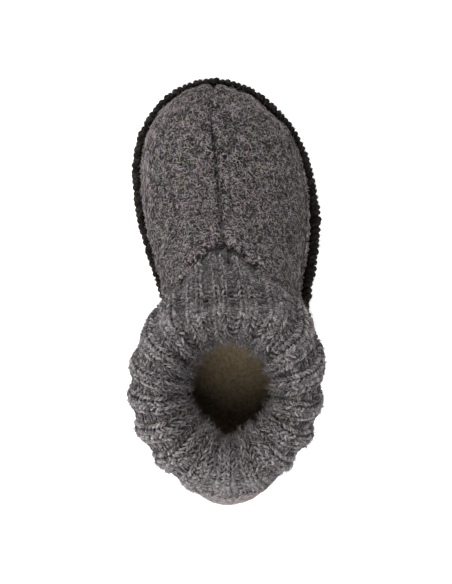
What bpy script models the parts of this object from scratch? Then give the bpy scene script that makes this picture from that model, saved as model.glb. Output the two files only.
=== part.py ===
"""A child's wool slipper for the right foot, standing empty on its sole.

+Y points to the toe, +X to the lateral side and +Z up. The origin is on the ground, under the
middle of the outline. Sizes are in millimetres and are turned into metres when a mesh is made.
"""

import math
from collections import namedtuple

import bmesh
import bpy
import numpy as np

MM = 0.001
GAP = 0.3  # clearance between pieces that touch on the real slipper

# Outline of the black edge, seen from above
Breadth = namedtuple("Breadth", "station medial lateral")
TOE_POINT = (-5.4, 94.2)
HEEL_POINT = (1.4, -94.2)
OUTLINE = (
    Breadth(90.0, -22.0, 11.6),
    Breadth(80.0, -33.2, 24.0),
    Breadth(69.0, -39.2, 32.6),
    Breadth(56.0, -41.7, 37.8),
    Breadth(41.0, -41.1, 41.1),
    Breadth(27.0, -38.5, 42.1),
    Breadth(13.0, -34.4, 40.6),
    Breadth(0.0, -30.2, 38.2),
    Breadth(-14.0, -26.4, 36.2),
    Breadth(-30.0, -25.0, 32.6),
    Breadth(-48.0, -25.8, 29.6),
    Breadth(-66.0, -25.4, 27.7),
    Breadth(-79.0, -21.4, 23.3),
    Breadth(-89.0, -12.8, 14.8),
)

# Long line of the slipper, which is the centre seam in front of the throat
Spine = namedtuple("Spine", "station across")
SPINE = (
    Spine(94.2, -5.4),
    Spine(76.0, -6.6),
    Spine(60.0, -5.0),
    Spine(42.0, -3.4),
    Spine(20.0, -2.0),
    Spine(-35.0, 0.4),
    Spine(-94.2, 1.4),
)
TOE_CENTRE = 57.0  # the wall turns round this station at the toe
HEEL_CENTRE = -64.0  # and round this one at the heel
CENTRE_EASE = 9.0

# Layers of the bottom, heights over the ground
TREAD = 1.8
RIM_PLATE = 2.0
FELT = 3.0
INSOLE = 3.0
PLATE_TOP = TREAD + RIM_PLATE
FLANGE_FOOT = PLATE_TOP + GAP
FLANGE_TOP = FLANGE_FOOT + FELT

# Distances in from the outline
EDGE_WALL = 1.6  # yarn outside the flange
FLANGE_EDGE = EDGE_WALL + GAP
TREAD_EDGE = 6.0
CREASE = 6.5  # where the wall stands on its flange
WALL_FOOT = CREASE + FELT
INSOLE_EDGE = WALL_FOOT + 0.5

FLANGE_ROUNDING = 0.6
TREAD_ROUNDING = 0.5
INSOLE_ROUNDING = 0.7

# Yarn edge that grips flange and rim plate
YARN = 1.2
LIP_ABOVE = 3.9
LIP_BELOW = 3.2
YARN_ROUNDING = 0.9
YARN_BACK = 2.0

# Lift of the bottom over the ground
TOE_SPRING = 3.0
SPRING_START = 52.0
ARCH_LIFT = 1.0
ARCH_FRONT = 8.0
ARCH_BACK = -38.0

# Height of the felt's ridge, which behind the throat is the ankle that the wall leans towards
Ridge = namedtuple("Ridge", "station height")
RIDGE = (
    Ridge(57.0, 35.0),
    Ridge(44.0, 37.8),
    Ridge(31.0, 42.4),
    Ridge(19.0, 49.2),
    Ridge(7.0, 58.5),
    Ridge(-8.0, 75.0),
    Ridge(-32.0, 82.0),
    Ridge(-64.0, 68.0),
)
THROAT_POINT = (-2.0, 18.4)  # front of the V over the instep
THROAT_SLANT_MEDIAL = 0.78  # how far back the V runs for each step aside
THROAT_SLANT_LATERAL = 0.69
THROAT_EASE = 0.09
THROAT_STEPS = 240

# Side wall of the felt, from the toe (0) to the heel (1) along each side of the outline
Wall = namedtuple("Wall", "along bulge_medial bulge_lateral collar")
WALL = (
    Wall(0.00, 4.4, 4.4, 36.0),
    Wall(0.12, 4.6, 5.0, 36.0),
    Wall(0.30, 4.0, 4.6, 36.0),
    Wall(0.40, 4.0, 2.6, 36.0),
    Wall(0.50, 5.0, 4.0, 36.0),
    Wall(0.60, 7.6, 6.2, 36.6),
    Wall(0.75, 7.6, 6.8, 38.0),
    Wall(0.88, 7.6, 7.6, 42.0),
    Wall(1.00, 7.2, 7.2, 46.0),
)
BELLY = 0.75  # below 1 the wall is fullest under its mid height
SEAM_DEPTH = 1.0
SEAM_HALF_WIDTH = 1.6
SEAM_FADE = 4.0
SEAM_TURN = 78.0  # from here on the furrow is pressed back as well as down
SEAM_TURN_FADE = 8.0

# Knitted shaft, as reaches from its own centre at angles turned from the toe to the lateral side
Girth = namedtuple("Girth", "angle puff full full_height roll roll_height mouth")
GIRTH = (
    Girth(-180.0, 1.6, 39.2, 66.0, 28.5, 96.5, 16.6),
    Girth(-155.0, 2.6, 41.6, 66.0, 28.0, 96.6, 16.0),
    Girth(-135.0, 3.4, 40.8, 66.0, 27.5, 97.0, 15.2),
    Girth(-90.0, 4.0, 39.4, 67.0, 27.0, 98.0, 14.8),
    Girth(-62.0, 4.0, 42.0, 67.5, 28.5, 98.5, 16.6),
    Girth(-42.0, 3.4, 43.4, 67.5, 30.0, 98.8, 18.6),
    Girth(0.0, 0.6, 38.0, 75.0, 30.5, 99.5, 21.2),
    Girth(42.0, 3.4, 43.2, 69.0, 30.0, 99.0, 19.4),
    Girth(62.0, 4.0, 41.4, 68.0, 28.5, 98.5, 18.0),
    Girth(90.0, 4.0, 37.8, 67.0, 27.0, 98.0, 16.8),
    Girth(135.0, 3.4, 39.0, 66.0, 27.0, 97.0, 16.0),
    Girth(155.0, 2.6, 40.4, 66.0, 28.0, 96.6, 16.4),
    Girth(180.0, 1.6, 39.2, 66.0, 28.5, 96.5, 16.6),
)
SHAFT_CENTRE = (0.6, -42.2)
MOUTH_HEIGHT = 86.0
TURNED_IN_HEIGHT = 73.0
TURNED_IN_SPREAD = 1.4
KNIT = 3.2
RIB_HEIGHT = 1.8
FURROWS = (  # angle of each furrow between two ribs, at the roll
    -169.0, -150.0, -129.0, -107.0, -86.0, -68.0, -49.0, -31.0, -13.0,
    4.0, 22.0, 42.0, 67.0, 90.0, 112.0, 134.0, 154.0, 172.0,
)
RIB_START = 0.12  # share of the knit's length where the ribs begin to stand out
RIB_GROWTH = 0.16
RIB_END = 0.70  # and where they flatten towards the mouth
RIB_LOSS = 0.75
RIB_LEAN = 6.0  # degrees that a rib turns to the toe on its way down from the roll
HEM_TUCK = 3.4  # the knit's edge under the felt
HEM_SLACK = 0.6  # deeper at that edge
HEM_CLEAR = 0.75  # clearance between knit and felt
HEM_RISE = 3.2  # where the knit comes up out of the felt
HEM_SWELL = 1.2

# Resolution
SIDE_COLUMNS = 44
SEAM_COLUMNS = (0.008, 0.018)
OUTER_ROWS = 9
INNER_ROWS = 6
INNER_START = 0.12
SHAFT_ROWS = 16
LINING_ROWS = (16, 14, 13, 12, 11, 9, 6, 3, 0)  # the rows that the inside of the knit keeps
RIB_CORNERS = 4
DENSE = 24
BETWEEN = 0.55  # place of the ring between an edge and the long line

Finish = namedtuple("Finish", "name colour roughness")
FINISHES = (
    Finish("outsole", (0.075, 0.060, 0.050), 0.85),
    Finish("insole", (0.205, 0.165, 0.105), 0.95),
    Finish("upper", (0.125, 0.113, 0.113), 1.0),
    Finish("edge_binding", (0.010, 0.008, 0.007), 0.90),
    Finish("shaft", (0.140, 0.130, 0.132), 1.0),
)


def clear_scene():
    for obj in list(bpy.data.objects):
        bpy.data.objects.remove(obj, do_unlink=True)


def through(knots, values, places, flat_ends=False):
    """A smooth curve through the values at the knots, read at the given places."""
    knots = np.asarray(knots, float)
    values = np.asarray(values, float)
    places = np.clip(np.asarray(places, float), knots[0], knots[-1])
    table = values.reshape(len(knots), -1)
    steps = np.diff(knots)[:, None]
    rises = np.diff(table, axis=0) / steps
    slopes = np.zeros_like(table)
    slopes[1:-1] = (rises[:-1] * steps[1:] + rises[1:] * steps[:-1]) / (steps[1:] + steps[:-1])
    if not flat_ends:
        slopes[0] = rises[0]
        slopes[-1] = rises[-1]
    span = np.clip(np.searchsorted(knots, places, side="right") - 1, 0, len(knots) - 2)
    width = steps[span]
    t = (places - knots[span])[:, None] / width
    read = (
        table[span] * (2 * t**3 - 3 * t**2 + 1)
        + slopes[span] * width * (t**3 - 2 * t**2 + t)
        + table[span + 1] * (3 * t**2 - 2 * t**3)
        + slopes[span + 1] * width * (t**3 - t**2)
    )
    return read.reshape(places.shape + values.shape[1:])


def column_of(rows, key, name, places, flat_ends=True):
    """One named column of a table, read smoothly at places along another."""
    rows = sorted(rows, key=lambda row: getattr(row, key))
    knots = [getattr(row, key) for row in rows]
    values = [getattr(row, name) for row in rows]
    return through(knots, values, places, flat_ends)


def smooth_step(value):
    value = np.clip(value, 0.0, 1.0)
    return value * value * (3.0 - 2.0 * value)


def ground_lift(station):
    """Height of the sole's underside: flat under heel and forefoot, lifted at waist and toe."""
    spring = TOE_SPRING * np.clip((station - SPRING_START) / (TOE_POINT[1] - SPRING_START), 0, 1) ** 2
    place = np.clip((station - ARCH_BACK) / (ARCH_FRONT - ARCH_BACK), 0, 1)
    return spring + ARCH_LIFT * np.sin(math.pi * place) ** 2


def dense_outline():
    """The outline as a closed ring of close points, with the number of the heel point."""
    medial = [(row.medial, row.station) for row in OUTLINE]
    lateral = [(row.lateral, row.station) for row in reversed(OUTLINE)]
    ring = np.array([TOE_POINT, *medial, HEEL_POINT, *lateral])
    wrapped = np.concatenate([ring[-3:], ring, ring[:4]])
    lengths = np.linalg.norm(np.diff(wrapped, axis=0), axis=1)
    knots = np.concatenate([[0.0], np.cumsum(np.sqrt(lengths))])
    spans = [np.linspace(knots[i], knots[i + 1], DENSE, endpoint=False) for i in range(3, len(ring) + 3)]
    points = through(knots, wrapped, np.concatenate(spans))
    points -= (points.max(axis=0) + points.min(axis=0)) / 2
    return points, DENSE * (len(OUTLINE) + 1)


def soft_limit(value, low, high, ease):
    """The value kept between low and high, easing into each limit."""
    above = high - np.maximum(high + ease - value, 0) ** 2 / (4 * ease)
    value = np.where(value > high - ease, above, value)
    below = low + np.maximum(value - low + ease, 0) ** 2 / (4 * ease)
    return np.where(value < low + ease, below, value)


def spine_across(station):
    return column_of(SPINE, "station", "across", station, flat_ends=False)


class Columns:
    """Upright planes round the slipper: from the toe down the medial side to the heel and back."""

    def __init__(self):
        points, heel = dense_outline()
        forward = np.roll(points, -1, axis=0) - np.roll(points, 1, axis=0)
        outward = np.column_stack([forward[:, 1], -forward[:, 0]])
        outward /= np.linalg.norm(outward, axis=1)[:, None]
        even = np.linspace(0, 1, SIDE_COLUMNS + 1)[1:]
        shares = np.concatenate([[0.0], SEAM_COLUMNS, even])
        last = len(points)
        medial = np.arange(0, heel + 1)
        lateral = np.arange(last, heel - 1, -1) % last
        sides = []
        for side in (medial, lateral):
            travelled = np.linalg.norm(np.diff(points[side], axis=0), axis=1)
            travelled = np.concatenate([[0.0], np.cumsum(travelled)])
            places = shares * travelled[-1]
            data = np.hstack([points[side], outward[side]])
            read = [np.interp(places, travelled, column) for column in data.T]
            sides.append(np.column_stack(read))
        middle = (sides[0][:, 1] + sides[1][:, 1]) / 2
        station = soft_limit(middle, HEEL_CENTRE, TOE_CENTRE, CENTRE_EASE)
        axis = np.column_stack([spine_across(station), station])
        order = [(0, k) for k in range(len(shares))] + [(1, k) for k in range(len(shares) - 2, 0, -1)]
        self.side = np.array([side for side, _ in order])
        self.number = np.array([k for _, k in order])
        self.along = shares[self.number]
        self.edge = np.array([sides[side][k, :2] for side, k in order])
        self.outward = np.array([sides[side][k, 2:] for side, k in order])
        self.outward /= np.linalg.norm(self.outward, axis=1)[:, None]
        self.axis = axis[self.number]
        self.count = len(order)

    def ring(self, inset, height):
        """A ring at a distance in from the outline and a height over the lifted ground."""
        plan = self.edge - self.outward * inset
        return self.raised(plan, height)

    def towards_axis(self, inset, share, height):
        """A ring part of the way from an inset outline to the long line."""
        start = self.edge - self.outward * inset
        return self.raised(start + (self.axis - start) * share, height)

    @staticmethod
    def raised(plan, height):
        return np.column_stack([plan, height + ground_lift(plan[:, 1])])


class Felt:
    """The outer skin of the felt upper, and places in from it."""

    def __init__(self, columns):
        self.columns = columns
        self.foot = columns.edge - columns.outward * CREASE
        inward = columns.axis - self.foot
        self.reach = np.linalg.norm(inward, axis=1)
        self.inward = inward / self.reach[:, None]
        self.height = column_of(RIDGE, "station", "height", columns.axis[:, 1]) - FLANGE_TOP
        medial = column_of(WALL, "along", "bulge_medial", columns.along)
        lateral = column_of(WALL, "along", "bulge_lateral", columns.along)
        self.bulge = np.where(columns.side == 0, medial, lateral)
        self.open = columns.axis[:, 1] < THROAT_POINT[1]
        self.share = np.where(self.open, self.throat_share(), 1.0)

    def throat_share(self):
        """How far up its quarter turn each plane is cut, by the V in front or the collar behind."""
        steps = np.linspace(0, 1, THROAT_STEPS)
        plans = np.array([self.place(np.full(self.columns.count, step)) for step in steps])
        aside = plans[:, :, 0] - THROAT_POINT[0]
        back = np.where(aside > 0, aside * THROAT_SLANT_LATERAL, -aside * THROAT_SLANT_MEDIAL)
        cut_by_v = steps[np.argmax(plans[:, :, 1] < THROAT_POINT[1] - back, axis=0)]
        collar = column_of(WALL, "along", "collar", self.columns.along)
        cut_by_collar = np.arcsin(np.clip((collar - FLANGE_TOP) / self.height, 0, 1)) / (math.pi / 2)
        apart = cut_by_v - cut_by_collar
        return np.minimum((cut_by_v + cut_by_collar + np.sqrt(apart**2 + THROAT_EASE**2)) / 2, 1)

    def section(self, share):
        """Distance in from the crease and height over the flange, at a share of the quarter turn."""
        turn = share * math.pi / 2
        rise = np.sin(turn)
        inward = self.reach * (1 - np.cos(turn)) - self.bulge * np.sin(math.pi * rise**BELLY)
        return inward, rise * self.height

    def normal(self, share):
        """The inward normal of the section, as inward and upward parts."""
        small = 0.004
        low = np.maximum(share - small, 0)
        high = low + 2 * small
        inward = self.section(high)[0] - self.section(low)[0]
        upward = self.section(high)[1] - self.section(low)[1]
        length = np.hypot(inward, upward)
        return upward / length, -inward / length

    def place(self, share, depth=0.0):
        inward, height = self.section(share)
        if np.any(depth):
            across, up = self.normal(share)
            inward = inward + across * depth
            height = height + up * depth
        plan = self.foot + self.inward * inward[:, None]
        return self.columns.raised(plan, FLANGE_TOP + height)

    def seamed(self, points):
        """The same points with the furrow of the centre seam pressed in, ahead of the throat."""
        aside = points[:, 0] - spine_across(points[:, 1])
        ahead = smooth_step((points[:, 1] - THROAT_POINT[1] + SEAM_FADE) / SEAM_FADE)
        furrow = SEAM_DEPTH * np.exp(-((aside / SEAM_HALF_WIDTH) ** 2)) * ahead
        furrow *= smooth_step((points[:, 2] - FLANGE_TOP) / SEAM_FADE)
        front = smooth_step((points[:, 1] - SEAM_TURN) / SEAM_TURN_FADE)
        points = points.copy()
        points[:, 2] -= furrow
        points[:, 1] -= furrow * front
        return points


def mesh_object(name, points, faces):
    """A closed mesh object from points in millimetres, with its faces turned outwards."""
    mesh = bpy.data.meshes.new(name)
    mesh.from_pydata([tuple(p * MM) for p in points], [], faces)
    work = bmesh.new()
    work.from_mesh(mesh)
    bmesh.ops.remove_doubles(work, verts=work.verts, dist=0.002 * MM)
    bmesh.ops.dissolve_degenerate(work, edges=work.edges, dist=0.001 * MM)
    bmesh.ops.recalc_face_normals(work, faces=work.faces)
    work.to_mesh(mesh)
    work.free()
    mesh.shade_smooth()
    mesh.set_sharp_from_angle(angle=math.radians(50))
    obj = bpy.data.objects.new(name, mesh)
    bpy.context.scene.collection.objects.link(obj)
    return obj


def strip_faces(rows, count, closed_rows, keep=None):
    """Quads between rings, each a row of count points, joined round and round."""
    faces = []
    last = rows if closed_rows else rows - 1
    for row in range(last):
        above = (row + 1) % rows
        for column in range(count):
            beside = (column + 1) % count
            if row == rows - 1 and keep is not None and not (keep[column] or keep[beside]):
                continue
            faces.append(
                (
                    row * count + column,
                    row * count + beside,
                    above * count + beside,
                    above * count + column,
                )
            )
    return faces


def lathe(name, rings, closed_rows=True, keep=None):
    """A solid from rings of equal count.

    Where keep is false on both sides, the last ring isn't joined to the first.
    """
    points = np.concatenate(rings)
    return mesh_object(name, points, strip_faces(len(rings), len(rings[0]), closed_rows, keep))


def make_outsole(columns):
    """Rim plate with the tread pad under it: rings run from the long line below to the one above.

    The upper face has rings where the felt and the insole have theirs, so the gap stays even.
    """
    rings = [
        columns.towards_axis(TREAD_EDGE, 1.0, 0.0),
        columns.towards_axis(TREAD_EDGE, BETWEEN, 0.0),
        columns.ring(TREAD_EDGE + TREAD_ROUNDING, 0.0),
        columns.ring(TREAD_EDGE, TREAD_ROUNDING),
        columns.ring(TREAD_EDGE, TREAD),
        columns.ring(FLANGE_EDGE, TREAD),
        columns.ring(FLANGE_EDGE, PLATE_TOP),
        columns.ring(WALL_FOOT, PLATE_TOP),
        columns.ring(INSOLE_EDGE, PLATE_TOP),
        columns.towards_axis(INSOLE_EDGE, BETWEEN, PLATE_TOP),
        columns.towards_axis(INSOLE_EDGE, 1.0, PLATE_TOP),
    ]
    return lathe("outsole", rings, closed_rows=False)


def make_insole(columns):
    """Footbed lying on the rim plate inside the foot of the wall."""
    foot = PLATE_TOP + GAP
    top = foot + INSOLE
    rings = [
        columns.towards_axis(INSOLE_EDGE, 1.0, foot),
        columns.towards_axis(INSOLE_EDGE, BETWEEN, foot),
        columns.ring(INSOLE_EDGE, foot),
        columns.ring(INSOLE_EDGE, top - INSOLE_ROUNDING),
        columns.ring(INSOLE_EDGE + INSOLE_ROUNDING, top),
        columns.towards_axis(INSOLE_EDGE, BETWEEN, top),
        columns.towards_axis(INSOLE_EDGE, 1.0, top),
    ]
    return lathe("insole", rings, closed_rows=False)


def make_edge_binding(columns):
    """Yarn edge: a channel that grips the felt flange and the rim plate from outside."""
    foot = TREAD - GAP
    top = FLANGE_TOP + GAP
    middle = (foot + top) / 2
    rings = [
        columns.ring(LIP_BELOW, foot),
        columns.ring(LIP_BELOW, foot - YARN),
        columns.ring(YARN_ROUNDING, foot - YARN),
        columns.ring(0.0, middle - YARN_BACK),
        columns.ring(0.0, middle + YARN_BACK),
        columns.ring(YARN_ROUNDING, top + YARN),
        columns.ring(LIP_ABOVE - YARN_ROUNDING, top + YARN),
        columns.ring(LIP_ABOVE, top),
        columns.ring(EDGE_WALL, top),
        columns.ring(EDGE_WALL, foot),
    ]
    return lathe("edge_binding", rings)


def make_upper(columns, felt):
    """Felt shell: outer skin down from the throat, round the flange and up the lining side."""
    outer = [felt.seamed(felt.place(felt.share * s)) for s in np.linspace(1, 0, OUTER_ROWS + 1)]
    flange = [
        columns.ring(FLANGE_EDGE + FLANGE_ROUNDING, FLANGE_TOP),
        columns.ring(FLANGE_EDGE, FLANGE_TOP - FLANGE_ROUNDING),
        columns.ring(FLANGE_EDGE, FLANGE_FOOT),
        columns.ring(WALL_FOOT, FLANGE_FOOT),
    ]
    inner = [felt.place(felt.share * s, FELT) for s in np.linspace(INNER_START, 1, INNER_ROWS)]
    return lathe("upper", outer + flange + inner, keep=felt.open)


def throat_loop(felt):
    """The rim of the throat and collar, as places, inward normals and directions into the felt."""
    share = felt.share
    small = 0.01
    beyond = np.roll(felt.place(np.roll(share, 1)), -1, axis=0)
    before = np.roll(felt.place(np.roll(share, -1)), 1, axis=0)
    upward = felt.place(share + small) - felt.place(share - small)
    start = int(np.argmax(felt.open)) - 1
    numbers = list(range(start, felt.columns.count - start + 1))
    places = felt.place(share)[numbers]
    inward = np.cross(upward, beyond - before)[numbers]
    inward /= np.linalg.norm(inward, axis=1)[:, None]
    tangent = np.roll(places[:-1], -1, axis=0) - np.roll(places[:-1], 1, axis=0)
    tangent = np.vstack([tangent, tangent[:1]])
    tangent /= np.linalg.norm(tangent, axis=1)[:, None]
    into = np.cross(inward, tangent)
    into /= np.linalg.norm(into, axis=1)[:, None]
    travelled = np.concatenate([[0.0], np.cumsum(np.linalg.norm(np.diff(places, axis=0), axis=1))])
    return travelled / travelled[-1], places, inward, into


def knit_keys(felt, angles):
    """Rings that the knit's outer skin runs through, from its tucked edge to the end turned in."""
    shares, places, inward, into = throat_loop(felt)
    where = 1.0 - (angles % 360.0) / 360.0

    def read(along_loop):
        return np.column_stack([np.interp(where, shares, along_loop[:, i]) for i in range(3)])

    rim, inward, into = read(places), read(inward), read(into)
    leaning = angles - RIB_LEAN * np.sin(np.radians(angles))

    def ring(name, headings, height, spread=0.0):
        reach = column_of(GIRTH, "angle", name, headings, flat_ends=False) + spread
        turn = np.radians(headings)
        across = SHAFT_CENTRE[0] + np.sin(turn) * reach
        along = SHAFT_CENTRE[1] + np.cos(turn) * reach
        return np.column_stack([across, along, np.broadcast_to(height, len(angles))])

    depth = FELT + HEM_CLEAR
    risen = rim + inward * (depth - HEM_SWELL) - into * HEM_RISE
    full = ring("full", leaning, column_of(GIRTH, "angle", "full_height", leaning))
    puff = column_of(GIRTH, "angle", "puff", leaning)
    turn = np.radians(leaning)
    pushed = np.column_stack([np.sin(turn) * puff, np.cos(turn) * puff, 0 * puff])
    return [
        rim + inward * (depth + HEM_SLACK) + into * HEM_TUCK,
        rim + inward * depth,
        risen,
        (risen + full) / 2 + pushed,
        full,
        ring("roll", angles, column_of(GIRTH, "angle", "roll_height", angles)),
        ring("mouth", angles, MOUTH_HEIGHT),
        ring("mouth", angles, TURNED_IN_HEIGHT, TURNED_IN_SPREAD),
    ]


def knit_skin(felt, angles, places):
    """The outer skin of the knit at places from 0, its tucked edge, to 1, the end turned in."""
    keys = np.array(knit_keys(felt, angles))
    lengths = np.linalg.norm(np.diff(keys, axis=0), axis=2).mean(axis=1)
    knots = np.concatenate([[0.0], np.cumsum(lengths)])
    return through(knots, keys, places * knots[-1])


def rib_columns():
    """Angles of the knit's columns, four to a rib, and for each 1 on a rib or -1 in a furrow."""
    phases = (np.arange(len(FURROWS) * RIB_CORNERS) + 0.5) / RIB_CORNERS
    wrapped = [*FURROWS, FURROWS[0] + 360.0]
    angles = np.interp(phases, np.arange(len(wrapped)), wrapped)
    wave = np.clip(-np.cos(2 * math.pi * phases) * math.sqrt(2), -1, 1)
    return (angles + 180.0) % 360.0 - 180.0, wave


def make_shaft(felt):
    """Ribbed knit, tucked inside the felt, full at the ankle and rolled in at the mouth."""
    angles, wave = rib_columns()
    rows = np.linspace(0, 1, SHAFT_ROWS + 1)
    skin = knit_skin(felt, angles, rows)
    round_way = np.roll(skin, -1, axis=1) - np.roll(skin, 1, axis=1)
    up_way = np.gradient(skin, axis=0)
    normal = np.cross(up_way, round_way)
    normal /= np.linalg.norm(normal, axis=2)[:, :, None]
    growth = smooth_step((rows - RIB_START) / RIB_GROWTH)
    loss = RIB_LOSS * smooth_step((rows - RIB_END) / RIB_GROWTH)
    swell = (growth - loss) * RIB_HEIGHT / 2
    ribbed = skin + normal * (wave[None, :] * swell[:, None])[:, :, None]
    lining = skin - normal * KNIT
    return lathe("shaft", list(ribbed) + [lining[row] for row in LINING_ROWS])


def add_finishes():
    """One plain material for each piece."""
    for finish in FINISHES:
        material = bpy.data.materials.new(finish.name)
        material.use_nodes = True
        shader = material.node_tree.nodes["Principled BSDF"]
        shader.inputs["Base Color"].default_value = (*finish.colour, 1.0)
        shader.inputs["Roughness"].default_value = finish.roughness
        shader.inputs["Metallic"].default_value = 0.0
        bpy.data.objects[finish.name].data.materials.append(material)


def main():
    clear_scene()
    columns = Columns()
    felt = Felt(columns)
    make_outsole(columns)
    make_insole(columns)
    make_upper(columns, felt)
    make_edge_binding(columns)
    make_shaft(felt)
    add_finishes()


main()
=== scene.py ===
"""Looks of a child's wool slipper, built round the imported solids.

Shapes are worked out in millimetres from the same outline, wall and knit tables as the solids,
and are turned into metres when a mesh is made. +Y points to the toe, +X to the lateral side.
"""

import math
from collections import namedtuple

import bmesh
import bpy
import numpy as np
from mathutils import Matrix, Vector


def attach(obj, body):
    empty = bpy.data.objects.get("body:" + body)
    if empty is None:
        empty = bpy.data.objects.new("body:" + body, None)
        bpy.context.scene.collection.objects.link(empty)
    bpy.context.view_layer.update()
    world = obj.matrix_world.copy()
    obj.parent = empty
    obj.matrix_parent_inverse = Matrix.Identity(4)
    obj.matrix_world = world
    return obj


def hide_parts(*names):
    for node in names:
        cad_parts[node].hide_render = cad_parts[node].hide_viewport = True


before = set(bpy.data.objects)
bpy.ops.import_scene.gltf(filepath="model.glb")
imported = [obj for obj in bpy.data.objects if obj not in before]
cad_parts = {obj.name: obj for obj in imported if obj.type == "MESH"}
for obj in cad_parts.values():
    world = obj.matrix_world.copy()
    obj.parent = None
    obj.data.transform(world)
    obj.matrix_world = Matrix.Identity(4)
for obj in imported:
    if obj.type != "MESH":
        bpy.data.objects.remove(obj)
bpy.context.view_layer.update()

MM = 0.001


def table(columns, *rows):
    """Rows of numbers whose columns have names."""
    Row = namedtuple("Row", columns)
    return [Row(*row) for row in rows]


# Outline of the yarn edge, seen from above
TOE_POINT = (-5.4, 94.2)
HEEL_POINT = (1.4, -94.2)
OUTLINE = table(
    "station medial lateral",
    (90.0, -22.0, 11.6), (80.0, -33.2, 24.0), (69.0, -39.2, 32.6), (56.0, -41.7, 37.8),
    (41.0, -41.1, 41.1), (27.0, -38.5, 42.1), (13.0, -34.4, 40.6), (0.0, -30.2, 38.2),
    (-14.0, -26.4, 36.2), (-30.0, -25.0, 32.6), (-48.0, -25.8, 29.6), (-66.0, -25.4, 27.7),
    (-79.0, -21.4, 23.3), (-89.0, -12.8, 14.8),
)
OUTLINE_STEPS = 60  # places worked out from one point of the outline to the next

# Long line of the slipper, which is the centre seam in front of the throat
SPINE = table(
    "station across",
    (94.2, -5.4), (76.0, -6.6), (60.0, -5.0), (42.0, -3.4), (20.0, -2.0), (-35.0, 0.4), (-94.2, 1.4),
)
TOE_CENTRE = 57.0  # the wall turns round this station at the toe
HEEL_CENTRE = -64.0  # and round this one at the heel
CENTRE_EASE = 9.0

# Layers of the bottom and distances in from the outline
FLANGE_FOOT = 4.1
FELT = 3.0
FLANGE_TOP = FLANGE_FOOT + FELT
FLANGE_EDGE = 1.9
CREASE = 6.5  # where the wall stands on its flange
WALL_FOOT = CREASE + FELT

# Lift of the bottom over the ground
TOE_SPRING = 3.0
SPRING_START = 52.0
ARCH_LIFT = 1.0
ARCH_FRONT = 8.0
ARCH_BACK = -38.0

# Height of the felt's ridge, which behind the throat is the ankle that the wall leans towards
RIDGE = table(
    "station height",
    (57.0, 35.0), (44.0, 37.8), (31.0, 42.4), (19.0, 49.2), (7.0, 58.5), (-8.0, 75.0), (-32.0, 82.0),
    (-64.0, 68.0),
)
THROAT_POINT = (-2.0, 19.6)  # front of the V over the instep
THROAT_SLANT_MEDIAL = 1.0  # how far back the V runs for each step aside
THROAT_SLANT_LATERAL = 0.80
THROAT_FLAT = 5.2  # half of the nearly straight top of the throat
THROAT_TURN = 2.6
THROAT_EASE = 0.09
THROAT_STEPS = 400
THROAT_SOFTENING = 60

# Side wall of the felt, from the toe (0) to the heel (1) along each side of the outline
WALL = table(
    "along bulge_medial bulge_lateral collar",
    (0.00, 3.4, 3.4, 36.0), (0.12, 3.2, 3.4, 36.0), (0.23, 2.8, 3.9, 36.0), (0.29, 3.0, 1.9, 36.0),
    (0.36, 3.4, 0.2, 36.0), (0.42, 4.0, -0.9, 36.0), (0.50, 5.0, 0.0, 36.0), (0.60, 7.6, 6.2, 36.6),
    (0.75, 7.6, 6.8, 38.0), (0.88, 7.6, 7.6, 42.0), (1.00, 6.3, 6.3, 46.0),
)
BELLY = 0.75  # below 1 the wall is fullest under its mid height
SIDE_COLUMNS = 230  # upright planes on each side, closer together at the toe
COLUMN_CROWDING = 1.3
SKIN_ROWS = 88  # rows of the outer skin, closer together at its upper edge
SKIN_CROWDING = 1.2
LINING_ROWS = 16
EDGE_THINNING = 1.5  # the felt is thinner at the edge of throat and collar
EDGE_REACH = 2.4

# The felt beside the yarn edge, by how far in from that edge and how high over the flange
FLANGE_STEPS = table(
    "beyond height unevenness pitch seed",
    (1.9, -0.2, 0.10, 4.0, 5), (1.1, 1.7, 0.15, 5.0, 6), (0.4, 2.0, 0.15, 5.0, 6),
    (-0.4, 0.9, 0.0, 5.0, 6),
)
FLANGE_ROUNDING = 0.6

# Centre seam, with its bend to the lateral side just ahead of the throat
SEAM_DEPTH = 1.9
SEAM_HALF_WIDTH = 1.1
SEAM_BEND = 0.6
SEAM_BEND_STATION = 24.0
SEAM_BEND_REACH = 14.0
SEAM_PITCH = 5.4  # from one pull of its thread to the next

# Two ripples that the seam throws to its lateral side at the toe, bowed round this place
RIPPLES = table("height station thickness", (1.15, 77.0, 1.9), (-0.95, 73.2, 1.6))
RIPPLE_MIDDLE = 2.0
RIPPLE_BOW = 0.10
RIPPLE_ACROSS = 2.5
RIPPLE_REACH = 5.0

# Creases and shallow hollows of the empty vamp, placed by their distance aside of the seam
FOLDS = table(
    "height station thickness slope aside reach",
    (0.55, 40.0, 2.6, -0.25, -5.5, 4.0), (0.45, 31.0, 2.4, 0.20, 5.5, 4.0),
    (0.50, 58.0, 3.0, -0.20, 6.5, 5.0), (-1.00, 48.0, 20.0, 0.0, 17.0, 9.0),
    (-0.60, 38.0, 16.0, 0.0, -16.0, 8.0),
)
UNEVEN_FELT = table("height pitch seed", (0.22, 13.0, 11), (0.11, 5.0, 12), (0.05, 2.2, 13))

# Where the knit stands off the felt's edge at the top of the throat
GAPS = table("across station length slope", (-4.7, 17.1, 4.2, 0.05), (5.6, 15.1, 3.8, -0.42))
GAP_HALF_WIDTH = 1.15
GAP_DEPTH = 1.2  # how far the knit sinks there

# Hairs: each is a ribbon of a few rings
HAIR_RINGS = 3
UPPER_HAIRS = 50000
UPPER_HAIR_WIDTH = 0.26
EDGE_HAIRS = 5200
EDGE_HAIR_WIDTH = 0.12
SHAFT_HAIRS = 20000
SHAFT_HAIR_WIDTH = 0.15
SHAFT_FUZZ = 6500
SHAFT_FUZZ_WIDTH = 0.12

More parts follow.
